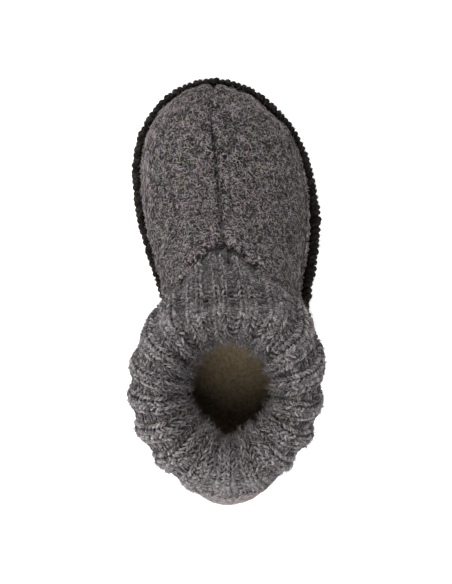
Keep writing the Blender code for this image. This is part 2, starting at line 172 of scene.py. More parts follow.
# Seeds of the random draws: first how the pieces lie, then the curl of each set of hairs
UPPER_SEEDS = (71, 72)
EDGE_SEEDS = (31, 32)
KNIT_SEEDS = (51, 52, 53)

# Width of the yarn edge seen from above
BAND = table(
    "along medial lateral",
    (0.00, 2.9, 2.9), (0.08, 3.6, 3.9), (0.20, 3.9, 3.4), (0.30, 4.0, 3.7), (0.37, 3.7, 5.0),
    (0.44, 3.4, 5.0), (0.56, 3.0, 4.3), (0.64, 3.2, 3.4), (1.00, 3.2, 3.2),
)

# Yarn stitches over the edge: reach 1 is the inner end above, 0 the outermost place
YARN_PATH = table(
    "reach height",
    (1.00, 7.2), (0.92, 8.2), (0.66, 8.9), (0.34, 8.9), (0.08, 8.1), (0.00, 6.6), (0.00, 4.7),
    (0.04, 3.2), (0.22, 1.95), (0.55, 1.75), (0.85, 1.8),
)
YARN_RADIUS = 1.25
YARN_PITCH = 2.5
YARN_SLANT = 1.6
YARN_SIDES = 8
YARN_END = 0.75  # thinner there
YARN_TWIST = 0.9  # turn of the fibres, in radians a millimetre
YARN_STRETCH = 0.2

# Plain core under those stitches: share of the band's width, and more inset, from the outline
CORE = table(
    "share inset height",
    (1, -0.5, 7.4), (1, -1.2, 8.2), (0, 1.1, 8.2), (0, 0.55, 6.7), (0, 0.55, 3.5), (0, 1.4, 1.8),
    (0, 2.9, 1.7),
)

# Knitted shaft, as reaches from its own centre at angles turned from the toe to the lateral side
GIRTH = table(
    "angle puff full full_height roll roll_height mouth",
    (-180.0, 1.6, 39.5, 66.0, 28.5, 96.5, 17.0), (-155.0, 2.6, 40.7, 66.0, 28.0, 96.6, 14.4),
    (-135.0, 3.4, 39.7, 66.0, 27.5, 97.0, 13.6), (-90.0, 4.0, 39.4, 67.0, 27.0, 98.0, 15.4),
    (-62.0, 3.8, 41.6, 67.5, 28.5, 98.5, 16.6), (-42.0, 2.8, 42.6, 67.5, 31.2, 98.8, 18.6),
    (0.0, 0.6, 38.4, 75.0, 32.6, 99.2, 21.2), (42.0, 3.4, 43.2, 69.0, 31.2, 99.0, 19.4),
    (62.0, 4.0, 41.4, 68.0, 28.5, 98.5, 18.0), (90.0, 4.0, 37.8, 67.0, 27.0, 98.0, 17.2),
    (135.0, 3.4, 38.1, 66.0, 27.0, 97.0, 15.2), (155.0, 2.6, 39.2, 66.0, 28.0, 96.6, 14.8),
    (180.0, 1.6, 39.5, 66.0, 28.5, 96.5, 17.0),
)
SHAFT_CENTRE = (0.6, -42.2)
MOUTH_HEIGHT = 86.0
TURNED_IN_HEIGHT = 73.0
TURNED_IN_SPREAD = 1.4
KNIT = 3.2
FURROWS = (  # angle of each furrow between two ribs, at the roll
    -169.0, -150.0, -129.0, -107.0, -86.0, -68.0, -49.0, -31.0, -13.0,
    4.0, 22.0, 42.0, 67.0, 90.0, 112.0, 134.0, 154.0, 172.0,
)
RIB_LEAN = 6.0  # degrees that a rib turns to the toe on its way down from the roll
RIB_DEPTH = 0.72
RIB_START = 0.12  # share of the knit's length where the ribs begin to stand out
RIB_GROWTH = 0.16
RIB_END = 0.70  # and where they flatten towards the mouth
RIB_LOSS = 0.45
HEM_TUCK = 3.4  # the knit's edge under the felt
HEM_SLACK = 0.6
HEM_CLEAR = 0.75
HEM_RISE = 3.2  # where the knit comes up out of the felt
HEM_SWELL = 1.2

# Stitches of the knit
GROUND = -1.6  # the ground under the stitches, against the skin
ROW_PITCH = 2.65
WALE_SIDES = 7
PURL_SIDES = 6
PURL_RADIUS = 0.72
PURL_SHARE = 0.80  # the purl bumps stop this far along, inside the mouth
# Half of a knit stitch, from its foot at the middle of the column to its head at the side
LEGS = table(
    "along aside lift thickness",
    (-0.42, 0.06, -0.70, 0.62), (-0.16, 0.22, 0.15, 0.95), (0.14, 0.44, 0.55, 1.05),
    (0.46, 0.66, 0.58, 1.05), (0.78, 0.84, 0.15, 0.92), (1.05, 0.94, -0.75, 0.62),
)
# A purl bump, across its column
PURLS = table(
    "across along lift thickness",
    (-1.0, -0.34, -0.45, 0.80), (-0.5, 0.16, 0.05, 1.00), (0.0, 0.34, 0.25, 1.05),
    (0.5, 0.16, 0.05, 1.00), (1.0, -0.34, -0.45, 0.80),
)

# Wools: colours, how far dark and light lie from the middle, and the scale of the fleece tints
Wool = namedtuple("Wool", "dark middle light reach fleeces")
GREY_FELT = Wool((0.007, 0.006, 0.006), (0.050, 0.0445, 0.043), (0.25, 0.226, 0.216), 0.12, 900.0)
GREY_YARN = Wool((0.028, 0.0255, 0.0255), (0.119, 0.109, 0.108), (0.40, 0.37, 0.36), 0.118, 700.0)
BLACK_YARN = Wool(
    (0.0035, 0.0027, 0.0023), (0.0130, 0.0100, 0.0087), (0.048, 0.038, 0.034), 0.118, 700.0
)
# Their surfaces, with the strength of the relief and its depth in metres
Surface = namedtuple("Surface", "roughness gloss sheen sheen_tint relief depth")
FELT_SURFACE = Surface(0.95, 0.1, 0.08, (0.9, 0.88, 0.87), 0.8, 0.0005)
BLACK_SURFACE = Surface(0.95, 0.1, 0.0, (0.9, 0.9, 0.9), 0.7, 0.0005)
GREY_SURFACE = BLACK_SURFACE._replace(sheen=0.15)
HAIR_SURFACE = Surface(0.85, 0.15, 0.0, (1, 1, 1), 0.0, 0.0)
INSOLE_SURFACE = Surface(0.95, 0.1, 0.2, (1, 1, 1), 0.5, 0.0004)
SUEDE_SURFACE = Surface(0.9, 0.2, 0.2, (1, 1, 1), 0.6, 0.0004)
FLOOR_SURFACE = Surface(0.9, 0.1, 0.0, (1, 1, 1), 0.0, 0.0)
SHEEN_ROUGHNESS = 0.5
# Streaks of hair: their scale and how long they are drawn out
FELT_STREAKS = (1150.0, 5.0)
YARN_STREAKS = (1500.0, 4.5)
INSOLE_STREAKS = (900.0, 3.0)
# Shares of streaks and patches in the felt, and of streaks, strand and plies in a yarn
FELT_SHARES = (0.78, 0.22)
YARN_SHARES = (0.34, 0.16, 0.50)
PLIES = (2.6, 1.5)  # scale and detail
FELT_TINT = 0.8
HAIR_TINT = 1.0
FELT_HAIR = (
    (0.0, (0.008, 0.007, 0.007)),
    (0.42, (0.026, 0.0235, 0.0225)),
    (0.62, (0.078, 0.070, 0.0675)),
    (1.0, (0.34, 0.306, 0.296)),
)
GREY_HAIR = ((0.0, (0.02, 0.018, 0.018)), (0.5, (0.115, 0.105, 0.103)), (1.0, (0.42, 0.39, 0.38)))
BLACK_HAIR = ((0.0, (0.004, 0.0033, 0.003)), (1.0, (0.045, 0.036, 0.031)))
FLEECES = (  # tints that lie side by side in one yarn or felt
    (0.30, (0.82, 0.98, 0.92)),
    (0.42, (1.0, 1.0, 1.0)),
    (0.52, (1.04, 0.96, 1.0)),
    (0.60, (0.94, 0.94, 1.14)),
    (0.72, (1.16, 1.02, 0.84)),
)
PATCH_SCALE = 140.0
PATCHES = (  # fainter ones, from patch to patch
    (0.30, (0.94, 1.01, 0.95)),
    (0.42, (1.0, 1.0, 1.0)),
    (0.50, (1.05, 0.97, 1.01)),
    (0.58, (0.96, 0.97, 1.08)),
    (0.70, (1.07, 1.02, 0.92)),
)
# Painted shade of the felt in its seam and in the throat's gaps
PAINTED_SEAM_SHADE = ((0.0, (1.0, 1.0, 1.0)), (1.0, (0.18, 0.16, 0.17)))
# Painted light on the felt, and the gain that brings felt without it back to its own colour
PAINTED_LIGHT_STOPS = ((0.0, (0.345, 0.345, 0.345)), (0.8, (0.862, 0.853, 0.845)), (1.0, (0.92, 1.0, 0.99)))
PAINTED_LIGHT_GAIN = (2.9, 2.9, 2.9)
# Painted shade of the yarns, from the outer side of a raised strand (0) to deep between strands (1)
PAINTED_STRAND_SHADE = (
    (0.0, (1.06, 1.06, 1.06)),
    (0.3, (0.90, 0.90, 0.90)),
    (0.7, (0.42, 0.41, 0.42)),
    (1.0, (0.12, 0.11, 0.12)),
)
INSOLE_FELT = ((0.35, (0.17, 0.132, 0.080)), (0.65, (0.238, 0.190, 0.122)))
# Painted light that makes the insole paler to the heel, against the deep shadow of the studio lights there
INSOLE_SHADE = ((0.0, (0.31, 0.31, 0.31)), (1.0, (1.0, 0.80, 0.86)))
INSOLE_GAIN = (3.7, 3.6, 3.6)
PALER_FROM = 0.048  # metres behind the origin, from where the insole gets paler to the heel
PALER_RATE = -32.0  # share of the way to the paler shade, for each metre forward
SUEDE = ((0.35, (0.035, 0.026, 0.020)), (0.65, (0.12, 0.095, 0.075)))
NAP = (900.0, 3.0)  # scale and detail
WORN = (60.0, 3.0)
SUEDE_SHARES = (0.6, 0.4)  # of nap and wear
HAIR_TURNS = (  # how streaks of hair lie, in degrees: five for pale hairs and five for dark ones
    (0, 0, 12), (20, 0, 55), (0, 25, 100), (40, 10, 140), (-30, 20, 170),
    (10, 0, 30), (0, -20, 80), (30, 0, 120), (-40, 0, 155), (60, 20, 5),
)
STREAK_SHIFTS = ((0.013, HAIR_TURNS[:5]), (0.171, HAIR_TURNS[5:]))

# Studio and camera. The photo is taken from straight above.
FLOOR_SIDE = 4.0
FLOOR_DROP = 0.0001
FLOOR_SHADE = ((0.3, (0.93, 0.93, 0.93)), (0.7, (0.95, 0.95, 0.95)))
FLOOR_GLOW = 0.8
FLOOR_SCALE = 8.0
WORLD_LIGHT = 0.36
LAMPS = table(
    "name place aim size power",
    ("key", (-1.0, -0.50, 1.0), (0, 0, 0.03), 0.5, 9.9),
    ("top", (-0.10, -0.37, 1.5), (0, 0, 0.03), 0.6, 12.2),
    ("front", (-0.25, 1.25, 0.72), (0, 0.05, 0.03), 0.7, 11.5),
    ("back", (0.0, -1.25, 0.40), (0, -0.08, 0.02), 0.5, 6.0),
)
PHOTO_ROWS = 584  # pixels
PIXEL = 0.448  # millimetres, in a plane at the camera's reach
CAMERA_REACH = 700.0
CAMERA_PLACE = (-0.2, -0.75, 706.0)
SENSOR = 36.0
SEEN_FROM, SEEN_TO = 0.05, 20.0  # metres


# Curves and tables
def through(knots, values, places, flat_ends=False):
    """A smooth curve through the values at the knots, read at the given places."""
    knots = np.asarray(knots, float)
    values = np.asarray(values, float)
    shape = np.shape(places)
    places = np.clip(np.asarray(places, float).ravel(), knots[0], knots[-1])
    grid = values.reshape(len(knots), -1)
    steps = np.diff(knots)[:, None]
    rises = np.diff(grid, axis=0) / steps
    slopes = np.zeros_like(grid)
    slopes[1:-1] = (rises[:-1] * steps[1:] + rises[1:] * steps[:-1]) / (steps[1:] + steps[:-1])
    if not flat_ends:
        slopes[0] = rises[0]
        slopes[-1] = rises[-1]
    span = np.clip(np.searchsorted(knots, places, side="right") - 1, 0, len(knots) - 2)
    width = steps[span]
    t = (places - knots[span])[:, None] / width
    read = (
        grid[span] * (2 * t**3 - 3 * t**2 + 1)
        + slopes[span] * width * (t**3 - 2 * t**2 + t)
        + grid[span + 1] * (3 * t**2 - 2 * t**3)
        + slopes[span + 1] * width * (t**3 - t**2)
    )
    return read.reshape(shape + values.shape[1:])


def column(rows, name):
    return np.array([getattr(row, name) for row in rows])


def column_of(rows, key, name, places, flat_ends=True):
    """One named column of a table, read smoothly at places along another."""
    rows = sorted(rows, key=lambda row: getattr(row, key))
    return through(column(rows, key), column(rows, name), places, flat_ends)


def smooth_step(value):
    value = np.clip(value, 0.0, 1.0)
    return value * value * (3.0 - 2.0 * value)


def bump(value, middle, half_width):
    """A soft hill of height 1 over its middle."""
    return np.exp(-(((value - middle) / half_width) ** 2))


def unit(vectors):
    return vectors / np.maximum(np.linalg.norm(vectors, axis=-1, keepdims=True), 1e-9)


def travelled(points):
    """How far each of a row of points lies from the first, along the row."""
    steps = np.linalg.norm(np.diff(points, axis=0), axis=1)
    return np.concatenate([[0.0], np.cumsum(steps)])


def evened(values, axis, times):
    """Values round a loop, each drawn to the mean of its neighbours."""
    for _ in range(times):
        values = (np.roll(values, 1, axis=axis) + 2 * values + np.roll(values, -1, axis=axis)) / 4
    return values


def between(grid, row, place, up, across):
    """Values of a grid that closes round, part of the way to its next row and its next place."""
    beside = (place + 1) % grid.shape[1]
    low = grid[row, place] * (1 - across) + grid[row, beside] * across
    high = grid[row + 1, place] * (1 - across) + grid[row + 1, beside] * across
    return low * (1 - up) + high * up


def counted(*sizes):
    """Every combination of counts, as flat arrays."""
    grids = np.meshgrid(*[np.arange(size) for size in sizes], indexing="ij")
    return [grid.ravel() for grid in grids]


def waves(points, size, seed, count=18):
    """A smooth random field of about unit spread, whose hills are about size apart."""
    rng = np.random.default_rng(seed)
    total = np.zeros(points.shape[:-1])
    for _ in range(count):
        direction = unit(rng.normal(size=3))
        pitch = size * rng.uniform(0.7, 1.6)
        total += np.sin(points @ direction * (2 * math.pi / pitch) + rng.uniform(0, 2 * math.pi))
    return total * math.sqrt(2.0 / count)


# Lines of the foot
def ground_lift(station):
    """Height of the bottom over the ground, from the toe spring and the arch."""
    spring = TOE_SPRING * np.clip((station - SPRING_START) / (TOE_POINT[1] - SPRING_START), 0, 1) ** 2
    place = np.clip((station - ARCH_BACK) / (ARCH_FRONT - ARCH_BACK), 0, 1)
    return spring + ARCH_LIFT * np.sin(math.pi * place) ** 2


def dense_outline():
    """Places round the outline from the toe down the medial side, and the number of the heel's."""
    medial = [(row.medial, row.station) for row in OUTLINE]
    lateral = [(row.lateral, row.station) for row in reversed(OUTLINE)]
    ring = np.array([TOE_POINT, *medial, HEEL_POINT, *lateral])
    wrapped = np.concatenate([ring[-3:], ring, ring[:4]])
    lengths = np.linalg.norm(np.diff(wrapped, axis=0), axis=1)
    knots = np.concatenate([[0.0], np.cumsum(np.sqrt(lengths))])
    spans = [
        np.linspace(knots[i], knots[i + 1], OUTLINE_STEPS, endpoint=False) for i in range(3, len(ring) + 3)
    ]
    points = through(knots, wrapped, np.concatenate(spans))
    points -= (points.max(axis=0) + points.min(axis=0)) / 2
    return points, OUTLINE_STEPS * (len(OUTLINE) + 1)


def soft_limit(value, low, high, ease):
    """A value kept between two limits, with a soft turn at each."""
    above = high - np.maximum(high + ease - value, 0) ** 2 / (4 * ease)
    value = np.where(value > high - ease, above, value)
    below = low + np.maximum(value - low + ease, 0) ** 2 / (4 * ease)
    return np.where(value < low + ease, below, value)


def spine_across(station):
    return column_of(SPINE, "station", "across", station, flat_ends=False)


def seam_across(station):
    """Where the centre seam runs."""
    return spine_across(station) + SEAM_BEND * bump(station, SEAM_BEND_STATION, SEAM_BEND_REACH)


def seam_strength(station):
    """The centre seam is deepest by the throat and soft at the toe."""
    return np.interp(station, [22.0, 50.0, 88.0], [1.0, 0.85, 0.6])


def seam_pulls(station):
    """Where the thread of the centre seam pulls, from -1 to 1."""
    return np.sin(station * 2 * math.pi / SEAM_PITCH + 0.6 * np.sin(station * 0.31))


# Mesh makers
def placed(name, data):
    """A new object in the scene."""
    obj = bpy.data.objects.new(name, data)
    bpy.context.scene.collection.objects.link(obj)
    return obj


def new_object(name, points, faces, values, sharp=None, merge=None):
    """A smooth mesh object from points in millimetres, with the numbers that its material reads."""
    faces = np.asarray(faces)
    mesh = bpy.data.meshes.new(name)
    mesh.vertices.add(len(points))
    mesh.vertices.foreach_set("co", (np.asarray(points, np.float32) * MM).ravel())
    corners = faces.shape[1]
    mesh.loops.add(faces.size)
    mesh.loops.foreach_set("vertex_index", faces.ravel().astype(np.int32))
    mesh.polygons.add(len(faces))
    mesh.polygons.foreach_set("loop_start", np.arange(0, faces.size, corners, dtype=np.int32))
    mesh.update(calc_edges=True)
    for title, numbers in values.items():
        put_values(mesh, title, np.asarray(numbers, np.float32))
    if merge:
        work = bmesh.new()
        work.from_mesh(mesh)
        bmesh.ops.remove_doubles(work, verts=work.verts, dist=merge * MM)
        bmesh.ops.recalc_face_normals(work, faces=work.faces)
        work.to_mesh(mesh)
        work.free()
    mesh.shade_smooth()
    if sharp:
        mesh.set_sharp_from_angle(angle=math.radians(sharp))
    obj = placed(name, mesh)
    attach(obj, "root")
    return obj


def put_values(mesh, name, numbers):
    """A number or a vector for each point of a mesh."""
    if numbers.ndim == 1:
        mesh.attributes.new(name, "FLOAT", "POINT").data.foreach_set("value", numbers)
    else:
        mesh.attributes.new(name, "FLOAT_VECTOR", "POINT").data.foreach_set("vector", numbers.ravel())


def grid_faces(rows, count, round_way=True, closed_rows=False):
    """Quads between rows of count points."""
    last_row = rows if closed_rows else rows - 1
    last_column = count if round_way else count - 1
    row, place = np.meshgrid(np.arange(last_row), np.arange(last_column), indexing="ij")
    beside = (place + 1) % count
    above = (row + 1) % rows
    quads = [row * count + place, row * count + beside, above * count + beside, above * count + place]
    return np.stack(quads).reshape(4, -1).T


def repeated(faces, count, points_each):
    """The faces of one strand, for many strands."""
    return (faces[None] + (np.arange(count) * points_each)[:, None, None]).reshape(-1, 4)


def round_turn(sides):
    return np.arange(sides) * 2 * math.pi / sides


def grid_normals(grid):
    """Outward normals of a grid of points whose columns go round and rows up."""
    across = np.roll(grid, -1, axis=1) - np.roll(grid, 1, axis=1)
    up = np.gradient(grid, axis=0)
    return unit(np.cross(up, across))


def tubes(centres, radii, sides, guide):
    """Points and faces of many round strands: centres are (strands, rings, 3), guides point out."""
    tangent = unit(np.gradient(centres, axis=1))
    side = unit(np.cross(tangent, guide))
    out = np.cross(side, tangent)
    turn = round_turn(sides)
    ring = side[:, :, None] * np.cos(turn)[:, None] + out[:, :, None] * np.sin(turn)[:, None]
    points = centres[:, :, None] + ring * radii[:, :, None, None]
    count, rings = centres.shape[:2]
    return points.reshape(-1, 3), repeated(grid_faces(rings, sides), count, rings * sides)


def painted_tube_shade(count, lift, sides):
    """Painted shade for each point of many tubes, 0 on the outer side of a raised strand to 1 deep beside
    it.
    """
    outer = 0.5 + 0.5 * np.sin(round_turn(sides))
    raised = np.clip(lift, 0, 1)[:, None] * outer[None]
    return np.tile((1 - raised).ravel(), count)


def spun(centres, radii, sides, seeds):
    """Where each point of many tubes lies in its own twisted yarn, in millimetres."""
    steps = np.linalg.norm(np.diff(centres, axis=1), axis=2)
    along = np.hstack([np.zeros((len(centres), 1)), np.cumsum(steps, axis=1)])[..., None]
    turn = round_turn(sides) + YARN_TWIST * along
    lengthwise = np.broadcast_to(YARN_STRETCH * along + 40.0 * seeds[:, None, None], turn.shape)
    across = [np.cos(turn) * radii[..., None], np.sin(turn) * radii[..., None]]
    return np.stack([*across, lengthwise], axis=-1).reshape(-1, 3)


def strands(name, centres, radii, sides, guide, shade, depth):
    """A mesh of many yarns, each with its own shade, with painted shade where it lies deep and in the
    gaps.
    """
    points, faces = tubes(centres, radii, sides, guide)
    values = {
        "shade": np.repeat(shade, centres.shape[1] * sides),
        "spun": spun(centres, radii, sides, shade),
        # painted shade in the throat's gaps
        "depth": np.maximum(depth, throat_gaps(points)),
    }
    return new_object(name, points, faces, values)


Hairs = namedtuple("Hairs", "roots out headings lengths lifts")


def only(hairs, kept):
    return Hairs(*(part[kept] for part in hairs))


def along_surface(headings, out, share=1.0):
    """Directions with a share of what points out of the surface taken away."""
    return unit(headings - out * np.sum(headings * out, axis=1, keepdims=True) * share)


def fibres(name, hairs, width, seed, shade=None):
    """Fine hairs as narrow ribbons that start at the roots and curl over the surface."""
    rng = np.random.default_rng(seed)
    count = len(hairs.roots)
    lengths = hairs.lengths[:, None, None]
    t = np.linspace(0, 1, HAIR_RINGS)[None, :, None]
    side = unit(np.cross(hairs.out, hairs.headings))
    curl = rng.normal(0, 0.45, count)[:, None, None] * lengths
    centres = (
        hairs.roots[:, None]
        + hairs.headings[:, None] * lengths * t
        + side[:, None] * curl * t**2
        + hairs.out[:, None] * hairs.lifts[:, None, None] * np.sin(math.pi * (0.15 + 0.7 * t))
    )
    half = side[:, None] * (width * (0.35 + 0.65 * np.sin(math.pi * (0.1 + 0.8 * t)))) / 2
    points = np.stack([centres - half, centres + half], axis=2).reshape(-1, 3)
    faces = repeated(grid_faces(HAIR_RINGS, 2, round_way=False), count, HAIR_RINGS * 2)
    shade = rng.uniform(0, 1, count) if shade is None else shade
    new_object(name, points, faces, {"shade": np.repeat(shade, HAIR_RINGS * 2)})


# Foot form
class Columns:
    """Upright planes round the slipper: from the toe down the medial side to the heel and back."""

    def __init__(self):
        points, heel = dense_outline()
        forward = np.roll(points, -1, axis=0) - np.roll(points, 1, axis=0)
        outward = unit(np.column_stack([forward[:, 1], -forward[:, 0]]))
        shares = np.linspace(0, 1, SIDE_COLUMNS + 1) ** COLUMN_CROWDING
        last = len(points)
        sides = []
        for side in (np.arange(0, heel + 1), np.arange(last, heel - 1, -1) % last):
            gone = travelled(points[side])
            data = np.hstack([points[side], outward[side]])
            read = [np.interp(shares * gone[-1], gone, values) for values in data.T]
            sides.append(np.column_stack(read))
        middle = (sides[0][:, 1] + sides[1][:, 1]) / 2
        station = soft_limit(middle, HEEL_CENTRE, TOE_CENTRE, CENTRE_EASE)
        axis = np.column_stack([spine_across(station), station])
        order = [(0, k) for k in range(len(shares))] + [(1, k) for k in range(len(shares) - 2, 0, -1)]
        self.side = np.array([side for side, _ in order])
        number = np.array([k for _, k in order])
        self.along = shares[number]
        self.edge = np.array([sides[side][k, :2] for side, k in order])
        self.outward = unit(np.array([sides[side][k, 2:] for side, k in order]))
        self.axis = axis[number]
        self.count = len(order)

    def ring(self, inset, height):
        """Places at a distance in from the outline and a height over the lifted bottom."""
        return self.raised(self.edge - self.outward * inset, height)

    @staticmethod
    def raised(plan, height):
        return np.column_stack([plan, height + ground_lift(plan[:, 1])])

    def width(self):
        """Width of the yarn edge at each plane."""
        return self.by_side(BAND, "medial", "lateral")

    def by_side(self, rows, medial, lateral):
        """The medial or the lateral column of a table, at each plane."""
        read = [column_of(rows, "along", name, self.along) for name in (medial, lateral)]
        return np.where(self.side == 0, *read)


class Felt:
    """The outer skin of the felt upper, and places in from it."""

    def __init__(self, columns):
        self.columns = columns
        self.foot = columns.edge - columns.outward * CREASE
        inward = columns.axis - self.foot
        self.reach = np.linalg.norm(inward, axis=1)
        self.inward = inward / self.reach[:, None]
        self.height = column_of(RIDGE, "station", "height", columns.axis[:, 1]) - FLANGE_TOP
        self.bulge = columns.by_side(WALL, "bulge_medial", "bulge_lateral")
        self.open = columns.axis[:, 1] < THROAT_POINT[1]
        self.share = np.where(self.open, self.throat_share(), 1.0)

    def throat_share(self):
        """How far up each plane the felt goes before throat or collar cuts it off."""
        steps = np.linspace(0, 1, THROAT_STEPS)
        plans = np.array([self.place(np.full(self.columns.count, step)) for step in steps])
        aside = plans[:, :, 0] - THROAT_POINT[0]
        slant = np.where(aside > 0, THROAT_SLANT_LATERAL, THROAT_SLANT_MEDIAL)
        past = np.abs(aside) - THROAT_FLAT
        top = math.hypot(THROAT_FLAT, THROAT_TURN) - THROAT_FLAT
        back = slant * (past + np.sqrt(past**2 + THROAT_TURN**2) - top) / 2
        behind = THROAT_POINT[1] - back - plans[:, :, 1]
        first = np.maximum(np.argmax(behind > 0, axis=0), 1)
        numbers = np.arange(self.columns.count)
        low, high = behind[first - 1, numbers], behind[first, numbers]
        part = np.clip(-low / np.where(high - low == 0, 1, high - low), 0, 1)
        cut_by_v = np.where((behind > 0).any(axis=0), steps[first - 1] + part * steps[1], 1.0)
        collar = column_of(WALL, "along", "collar", self.columns.along)
        cut_by_collar = np.arcsin(np.clip((collar - FLANGE_TOP) / self.height, 0, 1)) / (math.pi / 2)
        apart = cut_by_v - cut_by_collar
        return np.minimum((cut_by_v + cut_by_collar + np.sqrt(apart**2 + THROAT_EASE**2)) / 2, 1)

    def place(self, share):
        """Places of the skin at a share of the way up to the ridge."""
        turn = share * math.pi / 2
        rise = np.sin(turn)
        inward = self.reach * (1 - np.cos(turn)) - self.bulge * np.sin(math.pi * rise**BELLY)
        plan = self.foot + self.inward * inward[:, None]
        return self.columns.raised(plan, FLANGE_TOP + rise * self.height)


def felt_relief(points):
    """How far the felt stands out of its plain form, in millimetres."""
    x, y, z = points[..., 0], points[..., 1], points[..., 2]
    aside = x - seam_across(y)
    # centre seam: a furrow between two soft shoulders, drawn in by its stitches
    tug = 0.86 + 0.14 * seam_pulls(y)
    furrow = -SEAM_DEPTH * tug * bump(aside, 0.0, SEAM_HALF_WIDTH) * seam_strength(y)
    shoulder = 0.60 * bump(np.abs(aside), 3.2, 2.0)
    pucker = 0.42 * np.sin(y * 2 * math.pi / 7.3 + aside * 0.35) * bump(np.abs(aside), 5.0, 4.0)
    relief = (furrow + shoulder + pucker) * smooth_step((y - THROAT_POINT[1] + 3.0) / 5.0)
    bowed = y + RIPPLE_BOW * (x - RIPPLE_MIDDLE) ** 2
    for ripple in RIPPLES:
        along = bump(bowed, ripple.station, ripple.thickness)
        relief += ripple.height * along * bump(x, RIPPLE_ACROSS, RIPPLE_REACH)
    for fold in FOLDS:
        along = bump(y + fold.slope * aside, fold.station, fold.thickness)
        relief += fold.height * along * bump(aside, fold.aside, fold.reach)
    for uneven in UNEVEN_FELT:
        relief += uneven.height * waves(points, uneven.pitch, uneven.seed)
    return relief * smooth_step((z - FLANGE_TOP) / 6.0)


def painted_seam_shade(points):
    """How deep a place of the felt lies in its seam, from 0 to 1, to darken it there as painted shade."""
    x, y, z = points[:, 0], points[:, 1], points[:, 2]
    on_vamp = smooth_step((y - THROAT_POINT[1] + 4.0) / 4.0) * smooth_step((z - FLANGE_TOP) / 8.0)
    broken = 0.84 + 0.16 * seam_pulls(y)
    half_width = np.interp(y, [20.0, 28.0, 60.0], [1.7, 1.3, 1.1])
    line = bump(x - seam_across(y) + 0.12 * np.sin(y * 1.1), 0.0, half_width) * seam_strength(y)
    return np.clip(line * on_vamp * broken, 0, 1)


def throat_gaps(points):
    """How deep a place lies in the gaps between felt and knit, from 0 to 1, to sink the knit and paint
    shade there.
    """
    depth = np.zeros(points.shape[:-1])
    for gap in GAPS:
        past = points[..., 0] - gap.across
        beside = points[..., 1] - gap.station - gap.slope * past
        depth = np.maximum(depth, 1.3 * bump(past / gap.length, 0, 1.0) * bump(beside, 0, GAP_HALF_WIDTH))
    return np.minimum(depth, 1.0)


def wall_fluff_and_painted_light(points):
    """Where painted light makes the medial wall's foot and the toe paler and hairs run along that wall,
    from 0 to 1.
    """
    x, y, z = points[..., 0], points[..., 1], points[..., 2]
    low = 1 - smooth_step((z - FLANGE_TOP - 7.0) / 15.0)
    medial = smooth_step((spine_across(y) - x - 12.0) / 8.0)
    toe = 0.35 * smooth_step((y - 66.0) / 18.0)
    return 0.62 * low * np.maximum(medial, toe)


# Felt upper
def felt_skin(felt):
    """Rows of the outer skin from its upper edge down, their normals, and how far down they lie."""
    heights = 1 - np.linspace(0, 1, SKIN_ROWS) ** SKIN_CROWDING
    outer = np.array([felt.place(felt.share * height) for height in heights])
    normals = grid_normals(outer)
    # at the ridge both sides meet, so the next row's normals hold there
    normals[0, ~felt.open] = normals[1, ~felt.open]
    steps = np.linalg.norm(np.diff(outer, axis=0), axis=2)
    down = np.vstack([np.zeros((1, felt.columns.count)), np.cumsum(steps, axis=0)])
    thinned = EDGE_THINNING * np.exp(-((down / EDGE_REACH) ** 2)) * felt.open
    outer = outer + normals * (felt_relief(outer) - thinned)[:, :, None]
    return outer, normals, down


def felt_lining(felt):
    """Rows of the felt's inside, from its upper edge down to the flange."""
    heights = np.linspace(1, 0.0, LINING_ROWS)
    lining = np.array([felt.place(felt.share * height) for height in heights])
    facing = grid_normals(lining)
    facing[0] = facing[1]
    lining = lining - facing * FELT
    lining[-1] = felt.columns.ring(WALL_FOOT, FLANGE_FOOT)
    return lining


def felt_flange(columns):
    """Rows of the flange, from the foot of the wall out and back under it."""
    width = columns.width()
    beside = columns.ring(4.0, 0.0)
    rows = []
    for step in FLANGE_STEPS:
        uneven = step.unevenness * waves(beside, step.pitch, step.seed)
        rows.append(columns.ring((width + step.beyond)[:, None], FLANGE_TOP + step.height + uneven))
    return [
        *rows,
        columns.ring(FLANGE_EDGE + FLANGE_ROUNDING, FLANGE_TOP),
        columns.ring(FLANGE_EDGE, FLANGE_TOP - FLANGE_ROUNDING),
        columns.ring(FLANGE_EDGE, FLANGE_FOOT),
        columns.ring(WALL_FOOT, FLANGE_FOOT),
    ]


def painted_felt_light(felt, rings, down):
    """Painted light that makes the felt paler at the heel, lateral flange, medial wall and by the knit,
    from 0 to 1.
    """
    columns = felt.columns
    pale = np.maximum(smooth_step((-rings[..., 1] - 82.0) / 6.0), 0.8 * wall_fluff_and_painted_light(rings))
    skin = slice(0, len(down))
    ridge = slice(len(down) + 1, len(down) + len(FLANGE_STEPS))
    lateral = (columns.side == 1) & (columns.along > 0.24) & (columns.along < 0.58)
    pale[ridge] = np.maximum(pale[ridge], 0.8 * lateral)
    by_knit = felt.open & (columns.axis[:, 1] > -30.0)
    by_knit = by_knit * (1 - 0.8 * bump(rings[0, :, 0] + 1.0, 0.0, 11.0))
    pale[skin] = np.maximum(pale[skin], 0.4 * np.exp(-((down / 4.0) ** 2)) * by_knit)
    return pale


